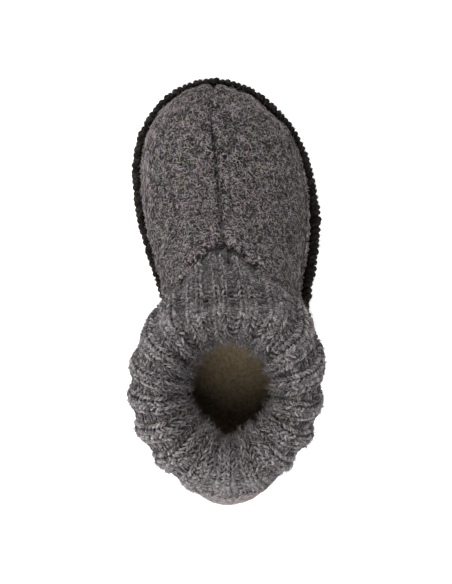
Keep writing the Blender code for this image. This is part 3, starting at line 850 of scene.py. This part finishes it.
def make_upper(felt):
    """The felt shell. Gives back what its hairs need: its outer rows, their normals and its painted light.
    """
    columns = felt.columns
    outer, normals, down = felt_skin(felt)
    lining = felt_lining(felt)
    rim_up = unit(outer[0] - outer[3])
    lip = [
        outer[0] + rim_up * 0.25 - normals[0] * 0.5,
        (outer[0] + lining[0]) / 2 + rim_up * 0.45,
        lining[0] + rim_up * 0.2 + normals[0] * 0.5,
    ]
    flange = felt_flange(columns)
    rings = np.concatenate([outer, flange, lining[-2::-1], lip[::-1]])
    faces = grid_faces(len(rings), columns.count, closed_rows=True)
    # ahead of the throat the two sides meet at the ridge, so no lip closes the shell there
    row = faces[:, 0] // columns.count
    ahead = ~felt.open[faces[:, 0] % columns.count] & ~felt.open[faces[:, 1] % columns.count]
    keep = ~(ahead & (row >= len(rings) - len(lip) - 1))
    # painted light: the felt is paler at the heel, on the lateral flange ridge, along the rim by the knit
    # and at the wall's foot
    pale = painted_felt_light(felt, rings, down)
    points = rings.reshape(-1, 3)
    # painted shade: the felt is darkened in its seam furrow and in the throat's gaps
    values = {"hollow": np.maximum(painted_seam_shade(points), throat_gaps(points)), "pale": pale.ravel()}
    obj = new_object("upper_felt", points, faces[keep], values, sharp=70, merge=0.004)
    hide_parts("upper")
    skin = np.concatenate([outer, flange[: len(FLANGE_STEPS)]])
    facing = np.concatenate([normals[:-1], grid_normals(skin)[len(outer) - 1 :]])
    return skin, facing, pale[: len(skin)]


def make_upper_hairs(outer, normals, pale):
    """Loose hairs that lie over the felt."""
    rng = np.random.default_rng(UPPER_SEEDS[0])
    count = outer.shape[1]
    number = UPPER_HAIRS
    edges = outer[1:, :] - outer[:-1, :], np.roll(outer, -1, axis=1)[:-1] - outer[:-1]
    cells = np.linalg.norm(np.cross(*edges), axis=2)
    chance = (cells / cells.sum()).ravel()
    row, place = np.divmod(rng.choice(chance.size, number, p=chance), count)
    spot = row, place, *rng.uniform(0, 1, (2, number, 1))
    roots = between(outer, *spot)
    out = unit(between(normals, *spot))
    heading = rng.normal(size=(number, 3))
    # they run along the foot of the medial wall
    heading[:, 1] += 6.0 * wall_fluff_and_painted_light(roots) * np.sign(heading[:, 1])
    heading = along_surface(heading, out)
    lengths = rng.uniform(1.1, 3.3, number)
    lifts = rng.uniform(0.05, 0.45, number) + 0.5 * (rng.uniform(0, 1, number) > 0.95)
    # none lies across the seam or a gap
    aside = np.abs(roots[:, 0] - seam_across(roots[:, 1]))
    on_vamp = roots[:, 1] > THROAT_POINT[1]
    lengths = np.where(on_vamp & (aside < 2.4), lengths * 0.5, lengths)
    reach = heading * (lengths / 2)[:, None]
    spots = [roots + reach * share for share in (-1.0, -0.5, 0.0, 0.5, 1.0)]
    over_gap = np.max([throat_gaps(spot) for spot in spots], axis=0)
    nearest = np.min([np.abs(spot[:, 0] - seam_across(spot[:, 1])) for spot in spots], axis=0)
    bare = np.interp(roots[:, 1], [21.0, 32.0, 62.0], [1.9, 1.15, 0.55])
    kept = ~(on_vamp & ((aside < 1.1) | (nearest < bare))) & (over_gap < 0.12)
    # painted light: the hairs are paler where the felt is painted paler
    shade = rng.uniform(0, 1, number) ** (1 - 0.77 * between(pale[..., None], *spot)[:, 0])
    roots = roots - reach + out * 0.02
    # on steep walls they stand off and show their flat side from above
    steep = 1 - np.clip(out[:, 2:], 0, 1)
    lifted = unit(out + np.array([0.0, 0.0, 0.9]) * steep)
    hairs = only(Hairs(roots, lifted, heading, lengths, lifts), kept)
    fibres("upper_hairs", hairs, UPPER_HAIR_WIDTH, UPPER_SEEDS[1], shade[kept])


# Yarn edge
def make_binding(columns):
    """Black yarn worked over the flange and the sole's rim, one slanting stitch after another."""
    data = np.column_stack([columns.edge, columns.outward, columns.width()])
    data = np.vstack([data, data[:1]])
    gone = travelled(data[:, :2])
    count = int(round(gone[-1] / YARN_PITCH))
    rng = np.random.default_rng(EDGE_SEEDS[0])
    starts = (np.arange(count) + 0.5) * gone[-1] / count + rng.normal(0, 0.22, count)
    steps = np.linspace(0, 1, len(YARN_PATH))
    slant = YARN_SLANT + rng.normal(0, 0.35, (count, 1))
    places = (starts[:, None] + slant * (steps[None] - 0.5)) % gone[-1]
    read = np.stack([np.interp(places, gone, values) for values in data.T], axis=-1)
    plan, out, width = read[..., :2], unit(read[..., 2:4]), read[..., 4]
    low = YARN_RADIUS - 0.35 + rng.normal(0, 0.14, (count, 1))
    high = width - YARN_RADIUS * 0.75 + rng.normal(0, 0.16, (count, 1))
    inset = low + (high - low) * column(YARN_PATH, "reach")
    height = column(YARN_PATH, "height")[None] + rng.normal(0, 0.12, (count, 1))
    plan = plan - out * inset[:, :, None]
    centres = np.dstack([plan, height + ground_lift(plan[:, :, 1])])
    guide = np.dstack([out, np.full(out.shape[:2], 0.35)])
    swell = 1 + 0.12 * np.sin(steps[None] * 17 + rng.uniform(0, 6, (count, 1)))
    radii = YARN_RADIUS * (1.0 + rng.normal(0, 0.09, (count, 1))) * swell
    radii[:, [0, -1]] *= YARN_END
    shade = rng.uniform(0, 1, count)
    # painted shade between the edge stitches
    depth = painted_tube_shade(count, 0.4 + 0.6 * np.sin(steps * math.pi), YARN_SIDES)
    obj = strands("edge_yarn", centres, radii, YARN_SIDES, guide, shade, depth)
    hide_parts("edge_binding")
    make_core(columns)
    make_edge_hairs(centres, guide, rng)


def make_core(columns):
    """Plain core under the stitches of the edge."""
    width = columns.width()
    rings = [columns.ring((core.share * width + core.inset)[:, None], core.height) for core in CORE]
    points = np.concatenate(rings)
    new_object("edge_core", points, grid_faces(len(rings), columns.count), {"spun": points})


def make_edge_hairs(centres, guide, rng):
    """Short hairs that stand off the yarn edge."""
    number = EDGE_HAIRS
    pick = rng.integers(0, len(centres), number)
    ring_at = rng.integers(1, len(YARN_PATH) - 3, number)
    upper_side = (ring_at < 5)[:, None]
    out = unit(guide[pick, ring_at] + np.array([0, 0, 1.0]) * upper_side)
    heading = along_surface(rng.normal(size=(number, 3)), out, 0.8)
    roots = centres[pick, ring_at] + out * 1.05
    hairs = Hairs(roots, out, heading, rng.uniform(0.8, 2.2, number), rng.uniform(0.1, 0.7, number))
    fibres("edge_hairs", hairs, EDGE_HAIR_WIDTH, EDGE_SEEDS[1])


# Knit
def throat_loop(felt):
    """The rim of the throat and collar, as places, inward normals and directions into the felt."""
    share = felt.share
    small = 0.01
    beyond = np.roll(felt.place(np.roll(share, 1)), -1, axis=0)
    before = np.roll(felt.place(np.roll(share, -1)), 1, axis=0)
    upward = felt.place(share + small) - felt.place(share - small)
    start = int(np.argmax(felt.open)) - 1
    numbers = list(range(start, felt.columns.count - start + 1))
    places = felt.place(share)[numbers]
    inward = unit(np.cross(upward, beyond - before)[numbers])[:-1]
    inward = evened(inward, 0, THROAT_SOFTENING)
    tangent = np.roll(places[:-1], -1, axis=0) - np.roll(places[:-1], 1, axis=0)
    tangent = evened(tangent, 0, THROAT_SOFTENING)
    tangent = unit(np.vstack([tangent, tangent[:1]]))
    inward = unit(np.vstack([inward, inward[:1]]))
    into = unit(np.cross(inward, tangent))
    gone = travelled(places)
    return gone / gone[-1], places, inward, into


class Knit:
    """The knit's skin as a dense grid: round by ribs, and along from the hem to the end turned in."""

    PER_RIB = 24
    ROWS = 220

    def __init__(self, felt):
        self.ribs = len(FURROWS)
        self.phases = np.arange(self.ribs * self.PER_RIB) / self.PER_RIB
        angles = (self.angle(self.phases) + 180.0) % 360.0 - 180.0
        keys = np.array(self.keys(felt, angles))
        lengths = np.linalg.norm(np.diff(keys, axis=0), axis=2).mean(axis=1)
        knots = np.concatenate([[0.0], np.cumsum(lengths)])
        self.length = knots[-1]
        self.rows = np.linspace(0, 1, self.ROWS + 1)
        # the loop's corner at the throat is eased round the knit
        self.skin = evened(through(knots, keys, self.rows * knots[-1]), 1, 3)
        self.normal = grid_normals(self.skin)

    @staticmethod
    def keys(felt, angles):
        """Rings that the skin runs through, from its tucked edge to the end turned in."""
        shares, places, inward, into = throat_loop(felt)
        where = 1.0 - (angles % 360.0) / 360.0

        def read(along_loop):
            return np.column_stack([np.interp(where, shares, along_loop[:, i]) for i in range(3)])

        rim, inward, into = read(places), read(inward), read(into)
        leaning = angles - RIB_LEAN * np.sin(np.radians(angles))

        def girth(name, headings, flat_ends=True):
            return column_of(GIRTH, "angle", name, headings, flat_ends)

        def ring(name, headings, height, spread=0.0):
            reach = girth(name, headings, flat_ends=False) + spread
            turn = np.radians(headings)
            across = SHAFT_CENTRE[0] + np.sin(turn) * reach
            along = SHAFT_CENTRE[1] + np.cos(turn) * reach
            return np.column_stack([across, along, np.broadcast_to(height, len(angles))])

        depth = FELT + HEM_CLEAR
        risen = rim + inward * (depth - HEM_SWELL) - into * HEM_RISE
        full = ring("full", leaning, girth("full_height", leaning))
        puff = girth("puff", leaning)
        turn = np.radians(leaning)
        pushed = np.column_stack([np.sin(turn) * puff, np.cos(turn) * puff, 0 * puff])
        return [
            rim + inward * (depth + HEM_SLACK) + into * HEM_TUCK,
            rim + inward * depth,
            risen,
            (risen + full) / 2 + pushed,
            full,
            ring("roll", angles, girth("roll_height", angles)),
            ring("mouth", angles, MOUTH_HEIGHT),
            ring("mouth", angles, TURNED_IN_HEIGHT, TURNED_IN_SPREAD),
        ]

    def angle(self, phase):
        """Heading of a rib phase, in degrees turned from the toe to the lateral side."""
        wrapped = [*FURROWS, FURROWS[0] + 360.0]
        return np.interp(phase % self.ribs, np.arange(len(wrapped)), wrapped)

    def front(self, phase, row):
        """1 on the flat knit over the instep, 0 elsewhere."""
        ahead = smooth_step((np.cos(np.radians(self.angle(phase))) - 0.35) / 0.4)
        return ahead * (1 - smooth_step((row - 0.22) / 0.22))

    @staticmethod
    def fullness(row):
        """Extra height where the knit comes out of the felt, and less inside the mouth."""
        return 1.1 * bump(row, 0.06, 0.045) - 0.9 * smooth_step((row - 0.72) / 0.16)

    @staticmethod
    def turned_in(row):
        """0 outside, 1 where the knit has turned down into the mouth."""
        return smooth_step((row - 0.70) / 0.16)

    def swell(self, phase, row):
        """How strongly the ribs stand out along the knit; they start late over the instep."""
        front = np.maximum(np.cos(np.radians(self.angle(phase))), 0) ** 2
        growth = smooth_step((row - RIB_START - 0.22 * front) / (RIB_GROWTH + 0.10 * front))
        return 0.30 + 0.92 * growth - RIB_LOSS * smooth_step((row - RIB_END) / RIB_GROWTH)

    def relief(self, phase, row):
        """Height of the ribbed ground over the plain skin."""
        wave = np.clip(-np.cos(2 * math.pi * phase) * 1.5, -1, 1)
        return wave * self.swell(phase, row) * RIB_DEPTH

    def read(self, phase, row):
        """Place and outward normal at rib phases and rows 0 to 1."""
        u = (phase * self.PER_RIB) % (self.ribs * self.PER_RIB)
        v = np.clip(row, 0, 1) * self.ROWS
        i = np.floor(u).astype(int) % (self.ribs * self.PER_RIB)
        j = np.minimum(v.astype(int), self.ROWS - 1)
        spot = j, i, (v - j)[..., None], (u - np.floor(u))[..., None]
        return between(self.skin, *spot), unit(between(self.normal, *spot))

    def rib_width(self, phase, row):
        """Length round the knit from one rib to the next."""
        ahead, _ = self.read(phase + 0.25, row)
        behind, _ = self.read(phase - 0.25, row)
        return np.linalg.norm(ahead - behind, axis=-1) * 2


def per_point(values, sides):
    """A value of each ring of many tubes, for each of its points."""
    return np.repeat(values, sides, axis=1).ravel()


def make_ground(knit):
    """Ribbed ground under the stitches, with its lining."""
    phases = knit.phases[::2]
    rows = knit.rows[::2]
    phase, row = np.meshgrid(phases, rows)
    place, normal = knit.read(phase, row)
    front = knit.front(phase, row)
    raised = front * (0.8 + 1.1 * bump(row, 0.06, 0.05))
    ground = place + normal * (knit.relief(phase, row) + GROUND + raised)[..., None]
    place, normal = knit.read(*np.meshgrid(phases, rows[::-2]))
    lining = place - normal * KNIT
    rings = np.concatenate([ground, lining])
    # painted shade of the ground under the stitches, lighter on the instep, and of the lining
    depth = np.concatenate([(0.85 - 0.42 * front).ravel(), np.full(lining[..., 0].size, 0.35)])
    points = rings.reshape(-1, 3)
    faces = grid_faces(len(rings), len(phases), closed_rows=True)
    obj = new_object("shaft_ground", points, faces, {"depth": depth, "spun": points})
    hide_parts("shaft")


Stitches = namedtuple("Stitches", "row centres radii out")


def make_wales(knit, courses, rng):
    """Two columns of knit stitches on each rib, in one mesh for each side of the foot."""
    rib, wale, course, leg = counted(knit.ribs, 2, courses, 2)
    total = len(rib)
    row = (course[:, None] + column(LEGS, "along")[None] + rng.normal(0, 0.07, (total, 1))) / courses
    half = 0.163 + 0.050 * smooth_step((row - 0.58) / 0.24)
    centre = (wale[:, None] * 2 - 1) * (half + 0.004)
    flat = knit.front(rib[:, None] + 0.5, row)
    aside = (leg[:, None] * 2 - 1) * column(LEGS, "aside")[None] * half * (1 - 0.28 * flat)
    phase = rib[:, None] + 0.5 + centre + aside + rng.normal(0, 0.008, (total, 1))
    place, out = knit.read(phase, row)
    size = np.clip(half * knit.rib_width(phase, row) * 0.285, 0.42, 0.68)
    height = knit.relief(phase, np.clip(row, 0, 1)) + GROUND + 0.75 + knit.fullness(row)
    height -= GAP_DEPTH * throat_gaps(place)
    lift = column(LEGS, "lift")[None] * 0.9 + rng.normal(0, 0.09, (total, 1))
    centres = place + out * (height + size + (lift - 0.35))[..., None]
    radii = size * column(LEGS, "thickness")[None] * (1 + rng.normal(0, 0.06, (total, 1)))
    shade = rng.uniform(0, 1, total)
    # painted shade of the legs: deep beside raised ones, evener but darker on the flat instep, darker
    # inside the mouth
    raised = np.clip(0.55 + column(LEGS, "lift") * 0.75, 0, 1)
    easing = 1 - 0.56 * flat
    inside = 0.20 * knit.turned_in(row) + 0.36 * flat
    medial = rib < knit.ribs // 2
    for name, part in (("shaft_wales_medial", medial), ("shaft_wales_lateral", ~medial)):
        depth = painted_tube_shade(int(part.sum()), raised, WALE_SIDES)
        depth = depth * per_point(easing[part], WALE_SIDES) + per_point(inside[part], WALE_SIDES)
        strands(name, centres[part], radii[part], WALE_SIDES, out[part], shade[part], depth)
    return Stitches(row, centres, radii, out)


def make_purls(knit, courses, rng):
    """Two columns of purl bumps down in each furrow."""
    rib, wale, course = counted(knit.ribs, 2, int(courses * PURL_SHARE))
    total = len(rib)
    shift = rng.normal(0, 0.07, (total, 1))
    bow = column(PURLS, "along")[None] * 0.9 * (1 + 0.6 * wale[:, None])
    row = (course[:, None] + 0.5 + bow + shift) / courses
    narrowed = 1 - 0.85 * smooth_step((row - 0.52) / 0.22)
    across = (wale[:, None] * 2 - 1) * 0.08 + column(PURLS, "across")[None] * 0.085
    phase = rib[:, None] + across * narrowed + rng.normal(0, 0.006, (total, 1))
    place, out = knit.read(phase, row)
    front = knit.front(phase, row)
    height = knit.relief(phase, row) + GROUND + 1.3 + column(PURLS, "lift")[None] + knit.fullness(row)
    height = height + rng.normal(0, 0.08, (total, 1)) - 0.8 * (1 - narrowed) - 1.3 * front
    height = height - GAP_DEPTH * throat_gaps(place)
    centres = place + out * height[..., None]
    radii = PURL_RADIUS * column(PURLS, "thickness")[None] * (1 + rng.normal(0, 0.07, (total, 1)))
    radii = radii * (1 + 0.2 * front)
    shade = rng.uniform(0, 1, total)
    # painted shade of the purl bumps: darker down in the furrows, on the instep and inside the mouth
    painted_purl_shade = per_point(0.18 + 0.14 * front + 0.20 * knit.turned_in(row), PURL_SIDES)
    depth = painted_purl_shade + (1 - painted_purl_shade) * painted_tube_shade(total, 0.55 + column(PURLS, "lift") * 0.8, PURL_SIDES)
    strands("shaft_purls", centres, radii, PURL_SIDES, out, shade, depth)


def make_shaft_hairs(stitches, rng):
    """Loose hairs that follow the yarn of the knit."""
    number = SHAFT_HAIRS
    pick = rng.integers(0, len(stitches.row), number)
    ring_at = rng.integers(1, 5, number)
    place = stitches.centres[pick, ring_at]
    out = unit(stitches.out[pick, ring_at] + rng.normal(0, 0.45, (number, 3)))
    heading = unit(place - stitches.centres[pick, ring_at - 1]) + rng.normal(0, 0.32, (number, 3))
    heading = along_surface(heading, out, 0.85)
    roots = place + out * (stitches.radii[pick, ring_at] * 0.9)[:, None]
    lengths = rng.uniform(1.0, 3.0, number)
    clear = np.maximum(throat_gaps(roots), throat_gaps(roots + heading * lengths[:, None])) < 0.12
    lifts = rng.uniform(0.05, 0.6, number)
    hairs = only(Hairs(roots, out, heading, lengths, lifts), clear)
    fibres("shaft_hairs", hairs, SHAFT_HAIR_WIDTH, KNIT_SEEDS[1])


def make_shaft_fuzz(stitches, rng):
    """Finer hairs that stand off the knit, thickest where it turns into the mouth."""
    number = SHAFT_FUZZ
    near_mouth = bump(stitches.row[:, 2], 0.83, 0.08)
    nearness = 1 + 10.0 * near_mouth
    pick = rng.choice(len(stitches.row), number, p=nearness / nearness.sum())
    ring_at = rng.integers(1, 5, number)
    out = stitches.out[pick, ring_at]
    heading = unit(out * rng.uniform(0.1, 0.9, (number, 1)) + rng.normal(0, 0.5, (number, 3)))
    roots = stitches.centres[pick, ring_at] + out * (stitches.radii[pick, ring_at] * 0.8)[:, None]
    beside = unit(np.cross(heading, rng.normal(size=(number, 3))))
    lengths = rng.uniform(1.2, 3.8, number)
    # painted shade: the hairs are darker near the mouth
    shade = rng.uniform(0, 1, number) * (1 - 0.3 * near_mouth[pick])
    hairs = Hairs(roots, beside, heading, lengths, rng.uniform(0.05, 0.5, number))
    fibres("shaft_fuzz", hairs, SHAFT_FUZZ_WIDTH, KNIT_SEEDS[2], shade)


def make_knit(knit):
    rng = np.random.default_rng(KNIT_SEEDS[0])
    courses = int(round(knit.length / ROW_PITCH))
    make_ground(knit)
    stitches = make_wales(knit, courses, rng)
    make_purls(knit, courses, rng)
    make_shaft_hairs(stitches, rng)
    make_shaft_fuzz(stitches, rng)


# Materials
class Nodes:
    """Short hand for building a node material."""

    def __init__(self, name):
        self.material = bpy.data.materials.new(name)
        self.material.use_nodes = True
        self.tree = self.material.node_tree
        self.shader = self.tree.nodes["Principled BSDF"]
        self.place = self.add("ShaderNodeTexCoord").outputs["Object"]

    def add(self, kind, inputs=None, **settings):
        """A node with its settings, and its inputs set or linked."""
        node = self.tree.nodes.new(kind)
        for key, value in settings.items():
            setattr(node, key, value)
        for name, given in (inputs or {}).items():
            self.fill(node.inputs[name], given)
        return node

    def fill(self, socket, given):
        """Set a socket to a number, a list or a colour of three numbers, or link it to another."""
        if isinstance(given, bpy.types.NodeSocket):
            self.tree.links.new(given, socket)
        elif isinstance(given, tuple):
            socket.default_value = (*given, 1)
        else:
            socket.default_value = given

    def attribute(self, name, output="Fac"):
        return self.add("ShaderNodeAttribute", attribute_name=name).outputs[output]

    def noise(self, scale, detail=2.0, source=None):
        inputs = {"Vector": self.place if source is None else source, "Scale": scale, "Detail": detail}
        return self.add("ShaderNodeTexNoise", inputs).outputs["Fac"]

    def math(self, operation, a, b):
        return self.add("ShaderNodeMath", {0: a, 1: b}, operation=operation).outputs[0]

    def blend(self, *parts):
        """The sum of several sources, each with its share."""
        total = None
        for source, share in parts:
            part = self.math("MULTIPLY", source, share)
            total = part if total is None else self.math("ADD", total, part)
        return total

    def ramp(self, source, stops):
        node = self.add("ShaderNodeValToRGB", {"Fac": source})
        elements = node.color_ramp.elements
        while len(elements) > 1:
            elements.remove(elements[-1])
        elements[0].position, elements[0].color = stops[0][0], (*stops[0][1], 1)
        for position, colour in stops[1:]:
            elements.new(position).color = (*colour, 1)
        return node.outputs["Color"]

    def mix(self, share, a, b, blend_type="MIX"):
        node = self.add("ShaderNodeMix", data_type="RGBA", blend_type=blend_type)
        for name, kind, given in (("Factor", "VALUE", share), ("A", "RGBA", a), ("B", "RGBA", b)):
            socket = next(socket for socket in node.inputs if (socket.name, socket.type) == (name, kind))
            self.fill(socket, given)
        return next(socket for socket in node.outputs if socket.type == "RGBA")

    def multiply(self, a, b):
        return self.mix(1.0, a, b, "MULTIPLY")

    def bump(self, source, surface):
        inputs = {"Height": source, "Strength": surface.relief, "Distance": surface.depth}
        self.fill(self.shader.inputs["Normal"], self.add("ShaderNodeBump", inputs).outputs["Normal"])

    def finish(self, colour, surface):
        settings = {
            "Base Color": colour,
            "Roughness": surface.roughness,
            "Sheen Weight": surface.sheen,
            "Sheen Roughness": SHEEN_ROUGHNESS,
            "Sheen Tint": surface.sheen_tint,
            "Specular IOR Level": surface.gloss,
        }
        for name, given in settings.items():
            self.fill(self.shader.inputs[name], given)
        return self.material

    def drawn_hairs(self, scale, turns, stretch, shift):
        """Thin streaks in several directions: high on a streak, low between them."""
        total = None
        for turn in turns:
            inputs = {
                "Vector": self.place,
                "Location": [shift, shift * 0.7, shift * 1.3],
                "Rotation": [math.radians(angle) for angle in turn],
                "Scale": [1.0, stretch, 1.0],
            }
            node = self.add("ShaderNodeMapping", inputs, vector_type="TEXTURE")
            drawn = self.noise(scale, 0.0, node.outputs["Vector"])
            total = drawn if total is None else self.math("MAXIMUM", total, drawn)
        return total

    def streaks(self, scale, stretch):
        """Pale and dark hairs over each other, as one number about a half."""
        light, dark = (self.drawn_hairs(scale, turns, stretch, shift) for shift, turns in STREAK_SHIFTS)
        return self.math("ADD", self.math("SUBTRACT", light, dark), 0.5)


def melange(nodes, fibre, wool):
    """Wool of dark and pale hairs, with faint tints from fleece to fleece."""
    stops = ((0.5 - wool.reach, wool.dark), (0.5, wool.middle), (0.5 + wool.reach, wool.light))
    grey = nodes.ramp(fibre, stops)
    return nodes.multiply(grey, nodes.ramp(nodes.noise(wool.fleeces, 1.0), FLEECES))


def tinted(nodes, colour, strength):
    """Faint tints from patch to patch, as mixed fleeces give."""
    tint = nodes.ramp(nodes.noise(PATCH_SCALE), PATCHES)
    return nodes.mix(strength, colour, nodes.multiply(colour, tint))


def felt_material():
    nodes = Nodes("grey_felt")
    fibre = nodes.streaks(*FELT_STREAKS)
    mixed = nodes.blend(*zip((fibre, nodes.noise(PATCH_SCALE)), FELT_SHARES))
    colour = tinted(nodes, melange(nodes, mixed, GREY_FELT), FELT_TINT)
    # painted shade in the seam and the throat's gaps
    colour = nodes.multiply(colour, nodes.ramp(nodes.attribute("hollow"), PAINTED_SEAM_SHADE))
    # painted light where the felt is painted paler
    colour = nodes.multiply(colour, nodes.ramp(nodes.attribute("pale"), PAINTED_LIGHT_STOPS))
    nodes.bump(fibre, FELT_SURFACE)
    return nodes.finish(nodes.multiply(colour, PAINTED_LIGHT_GAIN), FELT_SURFACE)


def yarn_material(name, wool, surface):
    nodes = Nodes(name)
    fibre = nodes.streaks(*YARN_STREAKS)
    plies = nodes.noise(*PLIES, nodes.attribute("spun", "Vector"))
    mixed = nodes.blend(*zip((fibre, nodes.attribute("shade"), plies), YARN_SHARES))
    colour = melange(nodes, mixed, wool)
    # painted shade where the yarn lies deep
    colour = nodes.multiply(colour, nodes.ramp(nodes.attribute("depth"), PAINTED_STRAND_SHADE))
    nodes.bump(fibre, surface)
    return nodes.finish(colour, surface)


def hair_material(name, stops):
    nodes = Nodes(name)
    colour = tinted(nodes, nodes.ramp(nodes.attribute("shade"), stops), HAIR_TINT)
    return nodes.finish(colour, HAIR_SURFACE)


def insole_material():
    """Brown felt, paler to the heel, where the studio lights leave too deep a shadow."""
    nodes = Nodes("insole_felt")
    fibre = nodes.streaks(*INSOLE_STREAKS)
    station = nodes.add("ShaderNodeSeparateXYZ", {"Vector": nodes.place}).outputs["Y"]
    toward_heel = nodes.math("MULTIPLY", nodes.math("ADD", station, PALER_FROM), PALER_RATE)
    colour = nodes.multiply(nodes.ramp(fibre, INSOLE_FELT), nodes.ramp(toward_heel, INSOLE_SHADE))
    nodes.bump(fibre, INSOLE_SURFACE)
    return nodes.finish(nodes.multiply(colour, INSOLE_GAIN), INSOLE_SURFACE)


def suede_material():
    nodes = Nodes("sole_suede")
    nap = nodes.noise(*NAP)
    mixed = nodes.blend(*zip((nap, nodes.noise(*WORN)), SUEDE_SHARES))
    nodes.bump(nap, SUEDE_SURFACE)
    return nodes.finish(nodes.ramp(mixed, SUEDE), SUEDE_SURFACE)


def floor_material():
    nodes = Nodes("pale_floor")
    colour = nodes.ramp(nodes.noise(FLOOR_SCALE), FLOOR_SHADE)
    nodes.fill(nodes.shader.inputs["Emission Color"], colour)
    nodes.fill(nodes.shader.inputs["Emission Strength"], FLOOR_GLOW)
    return nodes.finish(colour, FLOOR_SURFACE)


def paint(obj, material):
    obj.data.materials.clear()
    obj.data.materials.append(material)


# Stage
def make_floor():
    side = FLOOR_SIDE
    corners = [(-side, -side, 0), (side, -side, 0), (side, side, 0), (-side, side, 0)]
    mesh = bpy.data.meshes.new("floor")
    mesh.from_pydata(corners, [], [(0, 1, 2, 3)])
    floor = placed("floor", mesh)
    floor.location.z = -FLOOR_DROP
    paint(floor, floor_material())


def make_lights():
    world = bpy.data.worlds.new("studio")
    bpy.context.scene.world = world
    world.use_nodes = True
    background = world.node_tree.nodes["Background"]
    background.inputs["Color"].default_value = (1.0, 1.0, 1.0, 1.0)
    background.inputs["Strength"].default_value = WORLD_LIGHT
    for lamp in LAMPS:
        light = bpy.data.lights.new(lamp.name, "AREA")
        light.shape = "DISK"
        light.size = lamp.size
        light.energy = lamp.power
        obj = placed(lamp.name, light)
        obj.location = lamp.place
        obj.rotation_mode = "QUATERNION"
        direction = Vector(np.subtract(lamp.aim, lamp.place))
        obj.rotation_quaternion = direction.to_track_quat("-Z", "Y")


def make_camera():
    lens = bpy.data.cameras.new("camera")
    lens.sensor_width = SENSOR
    lens.lens = SENSOR * CAMERA_REACH / (PHOTO_ROWS * PIXEL)
    lens.clip_start = SEEN_FROM
    lens.clip_end = SEEN_TO
    camera = placed("camera", lens)
    camera.location = [value * MM for value in CAMERA_PLACE]
    camera.rotation_euler = (0.0, 0.0, 0.0)
    bpy.context.scene.camera = camera


def main():
    columns = Columns()
    felt = Felt(columns)
    make_upper_hairs(*make_upper(felt))
    make_binding(columns)
    make_knit(Knit(felt))
    knitted = ("shaft_ground", "shaft_wales_medial", "shaft_wales_lateral", "shaft_purls")
    painted = (
        (felt_material(), ("upper_felt",)),
        (hair_material("felt_hair", FELT_HAIR), ("upper_hairs",)),
        (yarn_material("black_yarn", BLACK_YARN, BLACK_SURFACE), ("edge_yarn", "edge_core")),
        (hair_material("black_hair", BLACK_HAIR), ("edge_hairs",)),
        (yarn_material("grey_yarn", GREY_YARN, GREY_SURFACE), knitted),
        (hair_material("grey_hair", GREY_HAIR), ("shaft_hairs", "shaft_fuzz")),
    )
    for material, names in painted:
        for name in names:
            paint(bpy.data.objects[name], material)
    paint(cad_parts["insole"], insole_material())
    paint(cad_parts["outsole"], suede_material())
    bpy.context.scene.view_settings.view_transform = "Standard"
    make_floor()
    make_lights()
    make_camera()


main()
